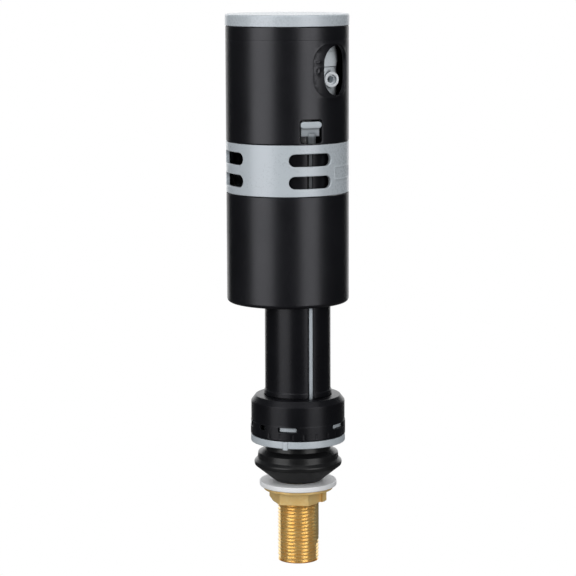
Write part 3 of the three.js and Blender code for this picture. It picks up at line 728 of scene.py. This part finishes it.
def tube(name, inner, outer, low, high, centre=(0, 0), facets=96):
    corners = [(r, z, 0.2) for r, z in ((inner, low), (outer, low), (outer, high), (inner, high))]
    return turned(name, corners, facets, centre)


def o_ring(name, radius, thickness, z):
    half = thickness / 2
    corners = [(radius + a * half, z + b * half, half) for a, b in ((-1, -1), (1, -1), (1, 1), (-1, 1))]
    return turned(name, corners, 96, steps=8)


def spun(piece, degrees, axis="Z"):
    piece.data.transform(Matrix.Rotation(math.radians(degrees), 4, axis))
    return piece


def moved(piece, *offset):
    piece.data.transform(Matrix.Translation(Vector(offset) * MM))
    return piece


def facing_front(piece, z, reach, axis=(0, 0)):
    """Lays an upright piece down to point forwards, its base at a height and in front of an axis."""
    return moved(spun(piece, 90, "X"), axis[0], axis[1] - reach, z)


def level_bar(name, radius, x, y, z):
    """A round bar along X between two limits, with rounded ends."""
    return moved(spun(plug(name, radius, 0, x[1] - x[0], facets=32, edge=0.25), 90, "Y"), x[0], y, z)


# ---- Stem: sleeve, height rod, collar and base ring ----
SLIT_HALF = 1.5
SLEEVE_BORE = 14.6
FLARE_RISE = (44.9, 45.3)
FLARE_FALL = (47.0, 47.9)


def stem_sleeve():
    """The stem: a slit for the rod down its front, a flare above the collar and a foot inside it."""
    bottom, top = span("stem_sleeve", Z)
    foot_top = bottom + 3
    slit_bottom, slit_top = 32.0, top - 0.8
    slit = Outline(0, (slit_bottom + slit_top) / 2, SLIT_HALF, (slit_top - slit_bottom) / 2, 0.5, STEM_R)

    def outer_at(angle, z):
        flare = smooth_step(*FLARE_RISE, z) * (1 - smooth_step(*FLARE_FALL, z))
        foot = 1 - smooth_step(foot_top - 0.1, foot_top + 0.1, z)
        return STEM_R + 0.45 * flare + 1.5 * foot

    steps = [*FLARE_RISE, 45.1, *FLARE_FALL, 47.3, 47.6, foot_top - 0.1, foot_top, foot_top + 0.1]
    return pierced_tube(
        "stem_sleeve", levels(bottom, top, 4.0, *steps), [slit], outer_at, constant(SLEEVE_BORE),
        axis=(0, 0), hole_edge=0.2, columns=144,
    )


def stadium(half, radius, steps=12):
    """(x, y) points round a bar with round ends."""
    turns = [math.pi * (k / steps - 0.5) for k in range(steps + 1)]
    return [(s * (half + radius * math.cos(a)), s * radius * math.sin(a)) for s in (1, -1) for a in turns]


def height_rod():
    """The T-headed rod that hangs in the housing's slot and runs in the stem's slit."""
    edge = 0.3
    strip = box("height_rod", (-0.55, 1.6), (0.7 - STEM_R, -12.75), (33, 178), edge)
    neck = plug("neck", 2.3, 173.0, 178.0, (0.6, -16.3))
    shoulder = box("shoulder", (-5.2, 4.7), (-17.1, -13.5), (176.5, 181.7), edge)
    stalk = box("stalk", (-3.5, 3.5), (-17.6, -14.5), (180.2, 183), edge)
    pill = bevelled(prism("pill", stadium(3.9, 1.75), 0, 3.3), 0.6, 4, 60)
    facing_front(pill, 182.15, 15)
    return smoothed(joined(strip, neck, shoulder, stalk, pill))


LUG_ANGLES = [-35.4 + 72 * k for k in range(5)]
COLLAR_R = 24.0


def lock_collar():
    """The ring nut of the bayonet: windows over the lugs, a chamfered shoulder and fine grip ribs."""
    low, high = span("lock_collar", Z)
    body_top = 41.7
    wall_top, edge = body_top - 1, 0.35
    windows = [Outline(a, 30.35, 5.1, 1.2, 0.35, COLLAR_R) for a in LUG_ANGLES]
    sight = Outline(LUG_ANGLES[0] - 35.6, 30.35, 1.9, 1.2, 0.35, COLLAR_R)
    ribs = 24

    def outer_at(angle, z):
        waist = smooth_step(31.6, 32.1, z)
        turn = (angle * ribs) % TURN
        groove = np.exp(-((np.minimum(turn, TURN - turn) / ribs * COLLAR_R / 0.35) ** 2))
        ribbed = smooth_step(low + 0.5, low + 0.9, z) * (1 - smooth_step(28.0, 28.4, z))
        return COLLAR_R - 0.3 * waist - 0.22 * groove * ribbed

    def inner_at(angle, z):
        return 21.0 + 2.0 * smooth_step(28.2, 28.6, z) * (1 - smooth_step(32.5, 32.9, z)) + 0 * angle

    steps = [low + 0.5, low + 0.7, low + 0.9, 28.0, 28.2, 28.4, 28.6, 31.6, 31.85, 32.1, 32.5, 32.7, 32.9]
    shoulder = COLLAR_R - 0.3
    top = [
        (shoulder, wall_top - edge, 0), (shoulder, body_top, 0.5), (21.5, high - 0.15, 0.5),
        (17.4, high, 0.3), (17.0, high - 0.4, 0.2), (17.0, 28.4, 0.2), (18.2, 28.4, 0.2),
        (18.2, body_top - 0.4, 0.5), (21.0, body_top - 0.4, 0.5), (21.0, wall_top - edge, 0),
    ]
    return pierced_tube(
        "lock_collar", levels(low, wall_top, 1.6, *steps), [*windows, sight], outer_at, inner_at,
        axis=(0, 0), top=top, edge=edge, hole_edge=0.25, columns=288,
    )


def base_ring():
    low, high = span("base_ring", Z)
    top = low + 4.1
    ring = turned(
        "base_ring",
        [
            (RING_BORE, low + 0.5, 0.2), (23.9, low + 0.5, 0.35), (23.9, top, 0.3), (20.6, top, 0.2),
            (20.6, high, 0.3), (18.5, high, 0.3), (18.5, top, 0.2), (RING_BORE, top, 0.2),
        ],
        192,
    )
    lugs = [sector("lug", 20.2, 22.75, a - 11.6, a + 11.2, 29.2, high, 0.25) for a in LUG_ANGLES]
    tab = sector("tab", 22.5, 24.35, LUG_ANGLES[0] - 6, LUG_ANGLES[0], low - 0.2, top - 0.1, 0.3)
    return smoothed(joined(ring, tab, *lugs), 40)


# ---- Tail: cone washer, flat washer, nut and threaded shank ----
PITCH = 25.4 / 14
THREAD_R = 10.4775
THREAD_DEPTH = 1.162


def cone_washer():
    return turned(
        "cone_washer",
        [
            (RING_BORE, 0.3, 0.2), (11.9, 0.3, 1.0), (22.05, 8.4, 1.1), (22.35, 10.2, 1.0), (20.6, 12.0, 0.9),
            (20.3, 14.9, 0.7), (16.9, 16.7, 0.8), (16.2, 20.6, 0.3), (RING_BORE, 20.6, 0.2),
        ],
        192,
    )


def clamp_washer():
    corners = [(RING_BORE, -2.6, 0.25), (19.6, -2.6, 0.5), (19.6, 0, 0.45), (RING_BORE, 0, 0.25)]
    return turned("clamp_washer", corners, 180)


def thread_shape(phase):
    """Height of a rounded 55 degree thread, 0 at the root and 1 at the crest."""
    sharp = 0.95
    return 0.5 + 0.5 * np.arcsin(sharp * np.cos(phase)) / math.asin(sharp)


def back_nut():
    """A flanged hexagon nut: two slanting cuts, a recess in one wrench flat and a plain bore."""
    top, flange_bottom, bottom = -2.9, -4.4, -10.8
    across_flats = 26.0
    flat = across_flats / 2
    corner = across_flats / math.sqrt(3)
    turns = [math.radians(a) for a in range(-2, 358, 60)]
    hexagon = [(corner * math.sin(a), -corner * math.cos(a)) for a in turns]
    body = prism("back_nut", hexagon, bottom, -3.6, 0.35)
    wedge = [(-6.5, -14), (6.5, -14), (6.5, 14), (-6.5, 14)]
    for angle in (-113, 127):
        cutter = spun(prism("cutter", wedge, 0, 12, 0.3), 142, "X")
        cut(body, spun(moved(cutter, 0, -13.6, -10.0), angle))
    for across, depth in ((-0.5, 3.6), 1.3), ((5.6, 9.0), 0.9):
        cut(body, spun(box("recess", across, (-flat - 4, depth - flat), (bottom - 2, -5.3), 0.3), 28))
    joined(body, plug("flange", 17.7, flange_bottom, top, facets=120, edge=0.4))
    bore = turned(
        "bore",
        [
            (0, bottom - 2, 0), (12.2, bottom - 2, 0), (RING_BORE, bottom + 0.6, 0),
            (RING_BORE, top - 0.5, 0), (11.6, top + 1, 0), (0, top + 1, 0),
        ],
        96,
    )
    return smoothed(cut(body, bore))


def shank():
    """The brass tail: a G1/2 helical thread outside and a plain bore inside."""
    low, high = SHANK_Z
    flange_low, flange_high = high - 15.2, high - 12.2
    thread_top, run_out, chamfer, blank_angle = flange_low - 1.5, 1.6, 1.6, 57

    def radius(angle, z):
        cone = THREAD_R - (chamfer - np.clip(z - low, 0, chamfer)) * 0.75
        turn = np.abs((angle - math.radians(blank_angle) + math.pi) % TURN - math.pi)
        blank = (1 - smooth_step(0.20, 0.62, turn)) * smooth_step(-34.0, -28.5, z)
        fade = (1 - smooth_step(thread_top - run_out, thread_top, z)) * (1 - blank)
        groove = THREAD_DEPTH * (1 - thread_shape(TURN * z / PITCH - angle)) * fade
        return np.minimum(THREAD_R - groove, cone)

    skin = Skin()
    columns = 128
    heights = np.linspace(low, flange_low, int((flange_low - low) / PITCH * 12))
    angle, z = np.meshgrid(np.arange(columns) * TURN / columns, heights)
    place, facing = wrapped(angle.ravel(), z.ravel(), radius, (0, 0))
    shape = (*angle.shape, 3)
    skin.grid(place.reshape(shape), facing.reshape(shape), close_columns=True)
    end = float(radius(np.zeros(1), np.zeros(1) + low)[0])
    bore, flange_r, spigot = 6.5, 13.3, 9.2
    mouth = [(bore, low + 9, 0), (bore, low, 0.4), (end, low, 0), (end + 1, low, 0)]
    above = [
        (THREAD_R, flange_low - 5, 0), (THREAD_R, flange_low, 0), (flange_r, flange_low, 0.3),
        (flange_r, flange_high, 0.3), (spigot, flange_high, 0.2), (spigot, high, 0.3), (bore, high, 0.3),
        (bore, low + 9, 0), (bore, low + 8, 0),
    ]
    for corners, first, last in ((mouth, 2, -1), (above, 1, -2)):
        points, normals = rounded(corners, 4)
        turned_patch(skin, points[first:last], normals[first:last], columns, closed=False)
    return skin.build("shank")


# ---- Valve behind the window ----
NOZZLE_AXIS = (14.4, HEAD_Y)
NOZZLE_Z = 203.8
BEHIND_WINDOW = (2, 52)  # angles
SCREW_ANGLES = (75, 165, 255, 345)
SCREW_CIRCLE = 22.6


def head_point(radius, angle):
    a = math.radians(angle)
    return radius * math.sin(a), HEAD_Y - radius * math.cos(a)


def valve_body():
    """A flat round body, hollow round the valve seat, that the riser enters from below."""
    low, high = span("valve_body", Z)
    wide, recess, recess_floor, core_r, core_bore = 24.8, 20.5, 209.7, 9, 7.2
    body = turned(
        "valve_body",
        [
            (0, low, 0), (wide, low, 0.5), (wide, high, 0.15), (recess, high, 0.3), (recess, recess_floor, 0),
            (0, recess_floor, 0),
        ],
        WALL_COLUMNS, HEAD_AXIS,
    )
    channel = [(0, 202.5, 0), (17.6, 202.5, 0.8), (17.6, 212, 0), (0, 212, 0)]
    core = [
        (0, 202, 0), (core_r, 202, 0), (core_r, recess_floor, 0.4), (core_bore, recess_floor, 0.3),
        (core_bore, 200.5, 0), (0, 200.5, 0),
    ]
    cut(body, turned("channel", channel, 96, HEAD_AXIS))
    joined(body, turned("core", core, 96, HEAD_AXIS))
    hollows = [
        sector("room", 23.8, 27, 1, 53, 209.9, high + 2, 0, HEAD_Y),
        facing_front(plug("socket", 3.2, 0, 9), NOZZLE_Z, 15.0, NOZZLE_AXIS),
        facing_front(plug("seating", 4.2, 0, 5), NOZZLE_Z, 21.5, NOZZLE_AXIS),
        plug("riser", 9.6, low - 1, 194, facets=96),
        plug("outlet", 3.2, low - 1, 200.5, OUTLET),
        plug("bore", 4.6, 197, 201, HEAD_AXIS, 64),
    ]
    return smoothed(cut(body, *hollows))


def bonnet():
    """The lid on the valve body, with a rise and a lip behind the window and posts for the lever."""
    low, high, post_top = 211.65, 218.3, span("bonnet", Z)[1]
    wide, inside, boss = 25.5, 17.8, 4.0
    lid = turned(
        "bonnet",
        [
            (0, 216.8, 0), (inside, 216.8, 0.4), (inside, low, 0.3), (wide, low, 0.15), (wide, high, 1.0),
            (boss, high, 0.3), (boss, high + 0.9, 0.2), (0, high + 0.9, 0),
        ],
        WALL_COLUMNS, HEAD_AXIS,
    )
    rise = sector("rise", 15, wide, *BEHIND_WINDOW, high - 0.5, 221.4, 0.5, HEAD_Y)
    lip = sector("lip", 24.1, wide, *BEHIND_WINDOW, 210.2, low + 1, 0.15, HEAD_Y)
    posts = [box("post", (x - 1.1, x + 1.1), (17.4, 21.8), (high - 0.4, post_top), 0.4) for x in (-4.5, 4.5)]
    lid = joined(lid, rise, lip, *posts)
    holes = [plug("hole", 1.6, low - 1, high + 1, head_point(SCREW_CIRCLE, a), 32) for a in SCREW_ANGLES]
    pin = level_bar("pin", 1.3, (-7, 7), *LEVER_PIVOT)
    guide = plug("guide", 1.5, 215, 221, HEAD_AXIS, 32)
    return smoothed(cut(lid, *holes, pin, guide))


def refill_nozzle():
    nozzle = turned(
        "refill_nozzle",
        [
            (1.7, -6.5, 0.2), (2.9, -6.5, 0.2), (2.9, 0, 0), (3.9, 0, 0.2), (3.9, 1.1, 0.45),
            (2.45, 1.1, 0.3), (2.45, -0.4, 0.2), (1.7, -0.4, 0.2),
        ],
        72,
    )
    return facing_front(nozzle, NOZZLE_Z, 21.8, NOZZLE_AXIS)


def slotted_screw(name, centre, shaft_bottom, head_bottom, head_r, head_height):
    top, shaft_r = head_bottom + head_height, 1.3
    screw = turned(
        name,
        [
            (0, shaft_bottom, 0), (shaft_r, shaft_bottom, 0.4), (shaft_r, head_bottom, 0.1),
            (head_r, head_bottom, 0.2), (head_r, top, 0.7), (0, top, 0),
        ],
        48, centre,
    )
    x, y = centre
    slot = box("slot", (x - 4, x + 4), (y - 0.35, y + 0.35), (top - 0.8, top + 1))
    return smoothed(cut(screw, slot))


def pilot_lever():
    y0, y1 = span("pilot_lever", Y)
    z0, z1 = span("pilot_lever", Z)
    beam = box("pilot_lever", (-3, 3), (y0, y1), (z0, z1), 0.5)
    pockets = [box("pocket", (-1.9, 1.9), ends, (z1 - 0.7, z1 + 1)) for ends in ((23, 29.2), (30.2, 37.0))]
    pin = level_bar("pin", 1.3, (-7, 7), *LEVER_PIVOT)
    hole = plug("hole", 1.6, z0 - 1, z1 + 1, HEAD_AXIS, 32)
    return smoothed(cut(beam, *pockets, pin, hole))


def water_tube():
    low, high = span("water_tube", Z)
    bore, wall, foot = 10.9, 12.3, 14.2
    corners = [(bore, low, 0.3), (foot, low, 0.3), (foot, low + 3, 0.3), (wall, low + 3, 0.4)]
    return turned("water_tube", [*corners, (wall, high, 0.4), (bore, high, 0.4)], 120)


# ---- Inner pieces ----
def housing_ledges():
    """Four ledges inside the housing that carry the valve."""
    ledges = [
        sector("housing_ledges", 23.2, HEAD_BORE + 0.4, a - 8, a + 8, 184, 187.7, 0.3, HEAD_Y)
        for a in (-118, -62, 62, 118)
    ]
    return smoothed(joined(*ledges))


def ring_groove(radius, z):
    """Corners of an O-ring's groove in a tube of that radius, its lower edge at z."""
    low, high, deep = z, z + 2.4, radius - 1.4
    return [(radius, low, 0.1), (deep, low, 0.1), (deep, high, 0.1), (radius, high, 0.1)]


def riser_tube():
    bore, wide, thin, flange = 6.3, 10.5, 9.0, 11
    bottom, top = 76, 193.6
    corners = [
        (bore, bottom, 0.3), (wide, bottom, 0.4), *ring_groove(wide, 78.5), *ring_groove(wide, 84),
        (wide, 90, 0.2), (thin, 91.5, 0.2), (thin, 185, 0.1), (flange, 185, 0.2), (flange, 187.7, 0.2),
        (thin, 187.7, 0.1), *ring_groove(thin, 189.6), (thin, top, 0.3), (bore, top, 0.3),
    ]
    return turned("riser_tube", corners, 96)


def diaphragm():
    corners = [
        (0.8, 208.5, 0.1), (8.2, 208.5, 0.3), (9, 209.3, 0.3), (17.6, 209.95, 0.3), (20.2, 209.95, 0.2),
        (20.2, 211.35, 0.2), (18, 211.35, 0.2), (17.2, 210.6, 0.3), (9, 210.1, 0.3), (0.8, 210.1, 0.1),
    ]
    return turned("diaphragm", corners, 120, HEAD_AXIS)


def inlet_strainer():
    bottom = SHANK_Z[0] + 3
    top = bottom + 15
    basket = turned(
        "inlet_strainer",
        [
            (0, top, 0), (4.4, top, 0.3), (4.4, bottom, 0.2), (6.15, bottom, 0.2), (6.15, bottom + 1.2, 0.2),
            (5.2, bottom + 1.2, 0.2), (5.2, top + 0.8, 0.5), (0, top + 0.8, 0),
        ],
        72,
    )
    slots = [spun(box("slot", (-1.1, 1.1), (-7, -3), (bottom + 3.5, bottom + 12.5)), 90 * k) for k in range(4)]
    return smoothed(cut(basket, *slots))


def crescent(name, inset, low, high, edge):
    """The float's outline shrunk by inset: round at the back, flat in front and hollowed by the stem."""
    body = plug(name, 28.3 - inset, low, high, HEAD_AXIS, WALL_COLUMNS, edge)
    front = box("front", (-40, 40), (-40, 14.4 + inset), (low - 1, high + 1))
    stem = plug("stem", 19 + inset, low - 1, high + 1, facets=120)
    return cut(body, front, stem)


def float_body():
    low, high, wall = 98, 140, 1.5
    shell = crescent("float", 0, low, high, 0.6)
    shell = cut(shell, crescent("space", wall, low - 1, high - wall, 0))
    shell = joined(shell, plug("boss", 3.6, high - 8, high - 0.2, FLOAT_STUD))
    return smoothed(cut(shell, plug("hole", 1.8, high - 6.6, high + 1, FLOAT_STUD)))


def float_rod():
    rod = plug("float_rod", 1.4, 140.3, 221.9, (0, 39.9), 40, 0.3)
    foot = box("foot", (-1.9, 1.9), (30.5, 40.7), (140.3, 142.9), 0.4)
    stud = plug("stud", 1.5, 133.8, 141.3, FLOAT_STUD, 40, 0.3)
    return smoothed(joined(rod, foot, stud))


def drain_flap():
    y, z = FLAP_PIVOT
    disc = plug("drain_flap", 5.6, z - 0.1, z + 1.2, DRAIN, 72, 0.3)
    knuckle = box("knuckle", (-2.9, 2.9), (y - 1.1, y + 3), (z - 1.1, z + 0.95), 0.3)
    hole = level_bar("hole", 0.75, (-6, 6), y, z)
    return smoothed(cut(joined(disc, knuckle), hole))


# ---- Every piece on its body ----
def dress(material, slot, stand=True, **riders):
    """Pieces take a material, and ride on the body that they are listed under.

    Each stands for the CAD node that it is named after, unless it is an extra beside the nodes. The slot
    argument is not used.
    """
    for body, pieces in riders.items():
        for piece in pieces:
            piece.data.materials.append(material)
            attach(piece, body)
            if stand:
                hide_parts(piece.name.split(".")[0])


dress(BLACK, "black_plastic", head=[upper_housing(), lower_cup()])
dress(BLACK, "black_plastic", stand=False, head=[housing_ledges(), housing_skirt()])
dress(BLACK_SATIN, "black_plastic", base=[stem_sleeve()], collar=[lock_collar()])
dress(
    GREY, "grey_plastic", cap=[top_cap()], lever=[pilot_lever()], float=[float_rod()],
    head=[trim_band(), tube("discharge_tube", 2.1, 2.85, *span("discharge_tube", Z), OUTLET, 56)],
    base=[base_ring(), tube("flow_restrictor", 1.6, 6.15, -20, -17)],
)
dress(GREY_ROD, "grey_plastic", head=[height_rod()])
dress(GREY_INNER, "grey_plastic", head=[valve_body(), bonnet()])
dress(GREY_NOZZLE, "grey_plastic", head=[refill_nozzle()])
dress(
    WHITE, "white_plastic", head=[riser_tube()], float=[float_body()], base=[water_tube(), inlet_strainer()],
    washer=[clamp_washer()], disc=[tube("diaphragm_disc", 1.2, 8, 210.4, 211.9, HEAD_AXIS)],
)
dress(
    RUBBER, "rubber", flap=[drain_flap()], base=[cone_washer(), o_ring("shank_oring", 10.05, 1.4, 36)],
    head=[
        diaphragm(), o_ring("riser_top_oring", 8.6, 1.3, 190.8),
        o_ring("riser_oring_lower", 10.05, 1.4, 79.7), o_ring("riser_oring_upper", 10.05, 1.4, 85.2),
    ],
    pilot=[plug("pilot_seal", 1.9, 215.1, 216.3, HEAD_AXIS, 40, 0.2)],
)
dress(BRASS_TURNED, "brass", base=[shank()])
dress(BRASS_FORGED, "brass", nut=[back_nut()])
screws = [
    slotted_screw(f"bonnet_screw_{number}", head_point(SCREW_CIRCLE, angle), 199, 218.6, 2.6, 1.8)
    for number, angle in enumerate(SCREW_ANGLES, 1)
]
dress(
    STEEL, "steel", head=[
        tube("valve_seat", 5, 6.9, 200.8, 208.2, HEAD_AXIS), *screws,
        level_bar("flap_pin", 0.55, (-4.6, 4.6), *FLAP_PIVOT),
        level_bar("lever_pin", 1.0, (-6.2, 6.2), *LEVER_PIVOT),
    ],
    pilot=[plug("pilot_pin", 1.1, 216.6, 220.9, HEAD_AXIS, 40, 0.2)],
    lever=[slotted_screw("level_screw", HEAD_AXIS, 221.5, 225.8, 2.4, 1.6)],
)


# ---- Stage: floor, camera and light ----
def seen_or_lit(tree, output, seen, lit):
    """Shows one shader to the camera, and another to the light that reaches the object."""
    path = add_node(tree, "LightPath")
    mix = add_node(tree, "MixShader", {"Fac": path.outputs["Is Camera Ray"], 1: lit, 2: seen})
    fill(tree, tree.nodes[output], {"Surface": mix.outputs[0]})


def stage():
    half, depth = 30.0, -0.30
    corners = [(-half, -half, depth), (half, -half, depth), (half, half, depth), (-half, half, depth)]
    floor = from_faces("floor", corners, [(0, 1, 2, 3)])
    look = Look("pale_floor")
    look.surface({"Base Color": (0.10, 0.10, 0.10, 1), "Roughness": 0.9})
    white = look.add("Emission", {"Strength": 1.0})
    dull = look.tree.nodes["Principled BSDF"]
    seen_or_lit(look.tree, "Material Output", white.outputs[0], dull.outputs[0])
    floor.data.materials.append(look.material)


def camera():
    """A long lens level with the head, looking a little down; returns its bearing in degrees."""
    bearing = -22.6
    azimuth = math.radians(-bearing)
    distance, height, tilt, roll = 1110.8, 267.2, 8.62, 0.2
    forward = Vector((math.sin(azimuth), math.cos(azimuth), 0))
    right = Vector((forward.y, -forward.x, 0))
    across = Vector((0, HEAD_Y, 0)).dot(right)
    place = right * across - forward * distance + Vector((0, 0, height))
    data = bpy.data.cameras.new("camera")
    data.sensor_width = 36.0
    data.lens = 139.2
    data.clip_end = 100
    view = placed("camera", data)
    turn = Euler((math.radians(90 - tilt), 0, -azimuth)).to_matrix()
    turn = turn @ Matrix.Rotation(math.radians(-roll), 3, "Z")
    view.matrix_world = Matrix.Translation(place * MM) @ turn.to_4x4()
    bpy.context.scene.camera = view
    return bearing


def softbox(name, azimuth, elevation, distance, size, radiance):
    """An area light that faces the object's middle; azimuth 0 is straight in front of it."""
    data = bpy.data.lights.new(name, "AREA")
    data.shape = "RECTANGLE"
    data.size, data.size_y = size
    data.energy = radiance * 4 * size[0] * size[1]
    light = placed(name, data)
    a, e = math.radians(azimuth), math.radians(elevation)
    out = Vector((math.sin(a) * math.cos(e), -math.cos(a) * math.cos(e), math.sin(e)))
    light.location = Vector((0, HEAD_Y * MM, 0.1)) + out * distance
    light.rotation_euler = out.to_track_quat("Z", "Y").to_euler()
    light.visible_camera = False


def world():
    sky = bpy.data.worlds.new("studio")
    sky.use_nodes = True
    tree = sky.node_tree
    dim = tree.nodes["Background"]
    fill(tree, dim, {"Color": (0.9, 0.95, 1, 1), "Strength": 0.10})
    bright = add_node(tree, "Background", {"Color": (1, 1, 1, 1), "Strength": 1.0})
    seen_or_lit(tree, "World Output", bright.outputs[0], dim.outputs[0])
    bpy.context.scene.world = sky


stage()
front = camera()
world()
softbox("left_box", front - 48, 12, 1.3, (1.05, 2.4), 1.85)
softbox("right_box", front + 42, 12, 1.3, (0.85, 2.4), 1.85)
softbox("backdrop", front + 180, 12, 1.6, (2.0, 2.4), 1.0)
softbox("overhead", front, 85, 1.6, (1.0, 1.0), 1.0)
bpy.context.scene.view_settings.view_transform = "Standard"
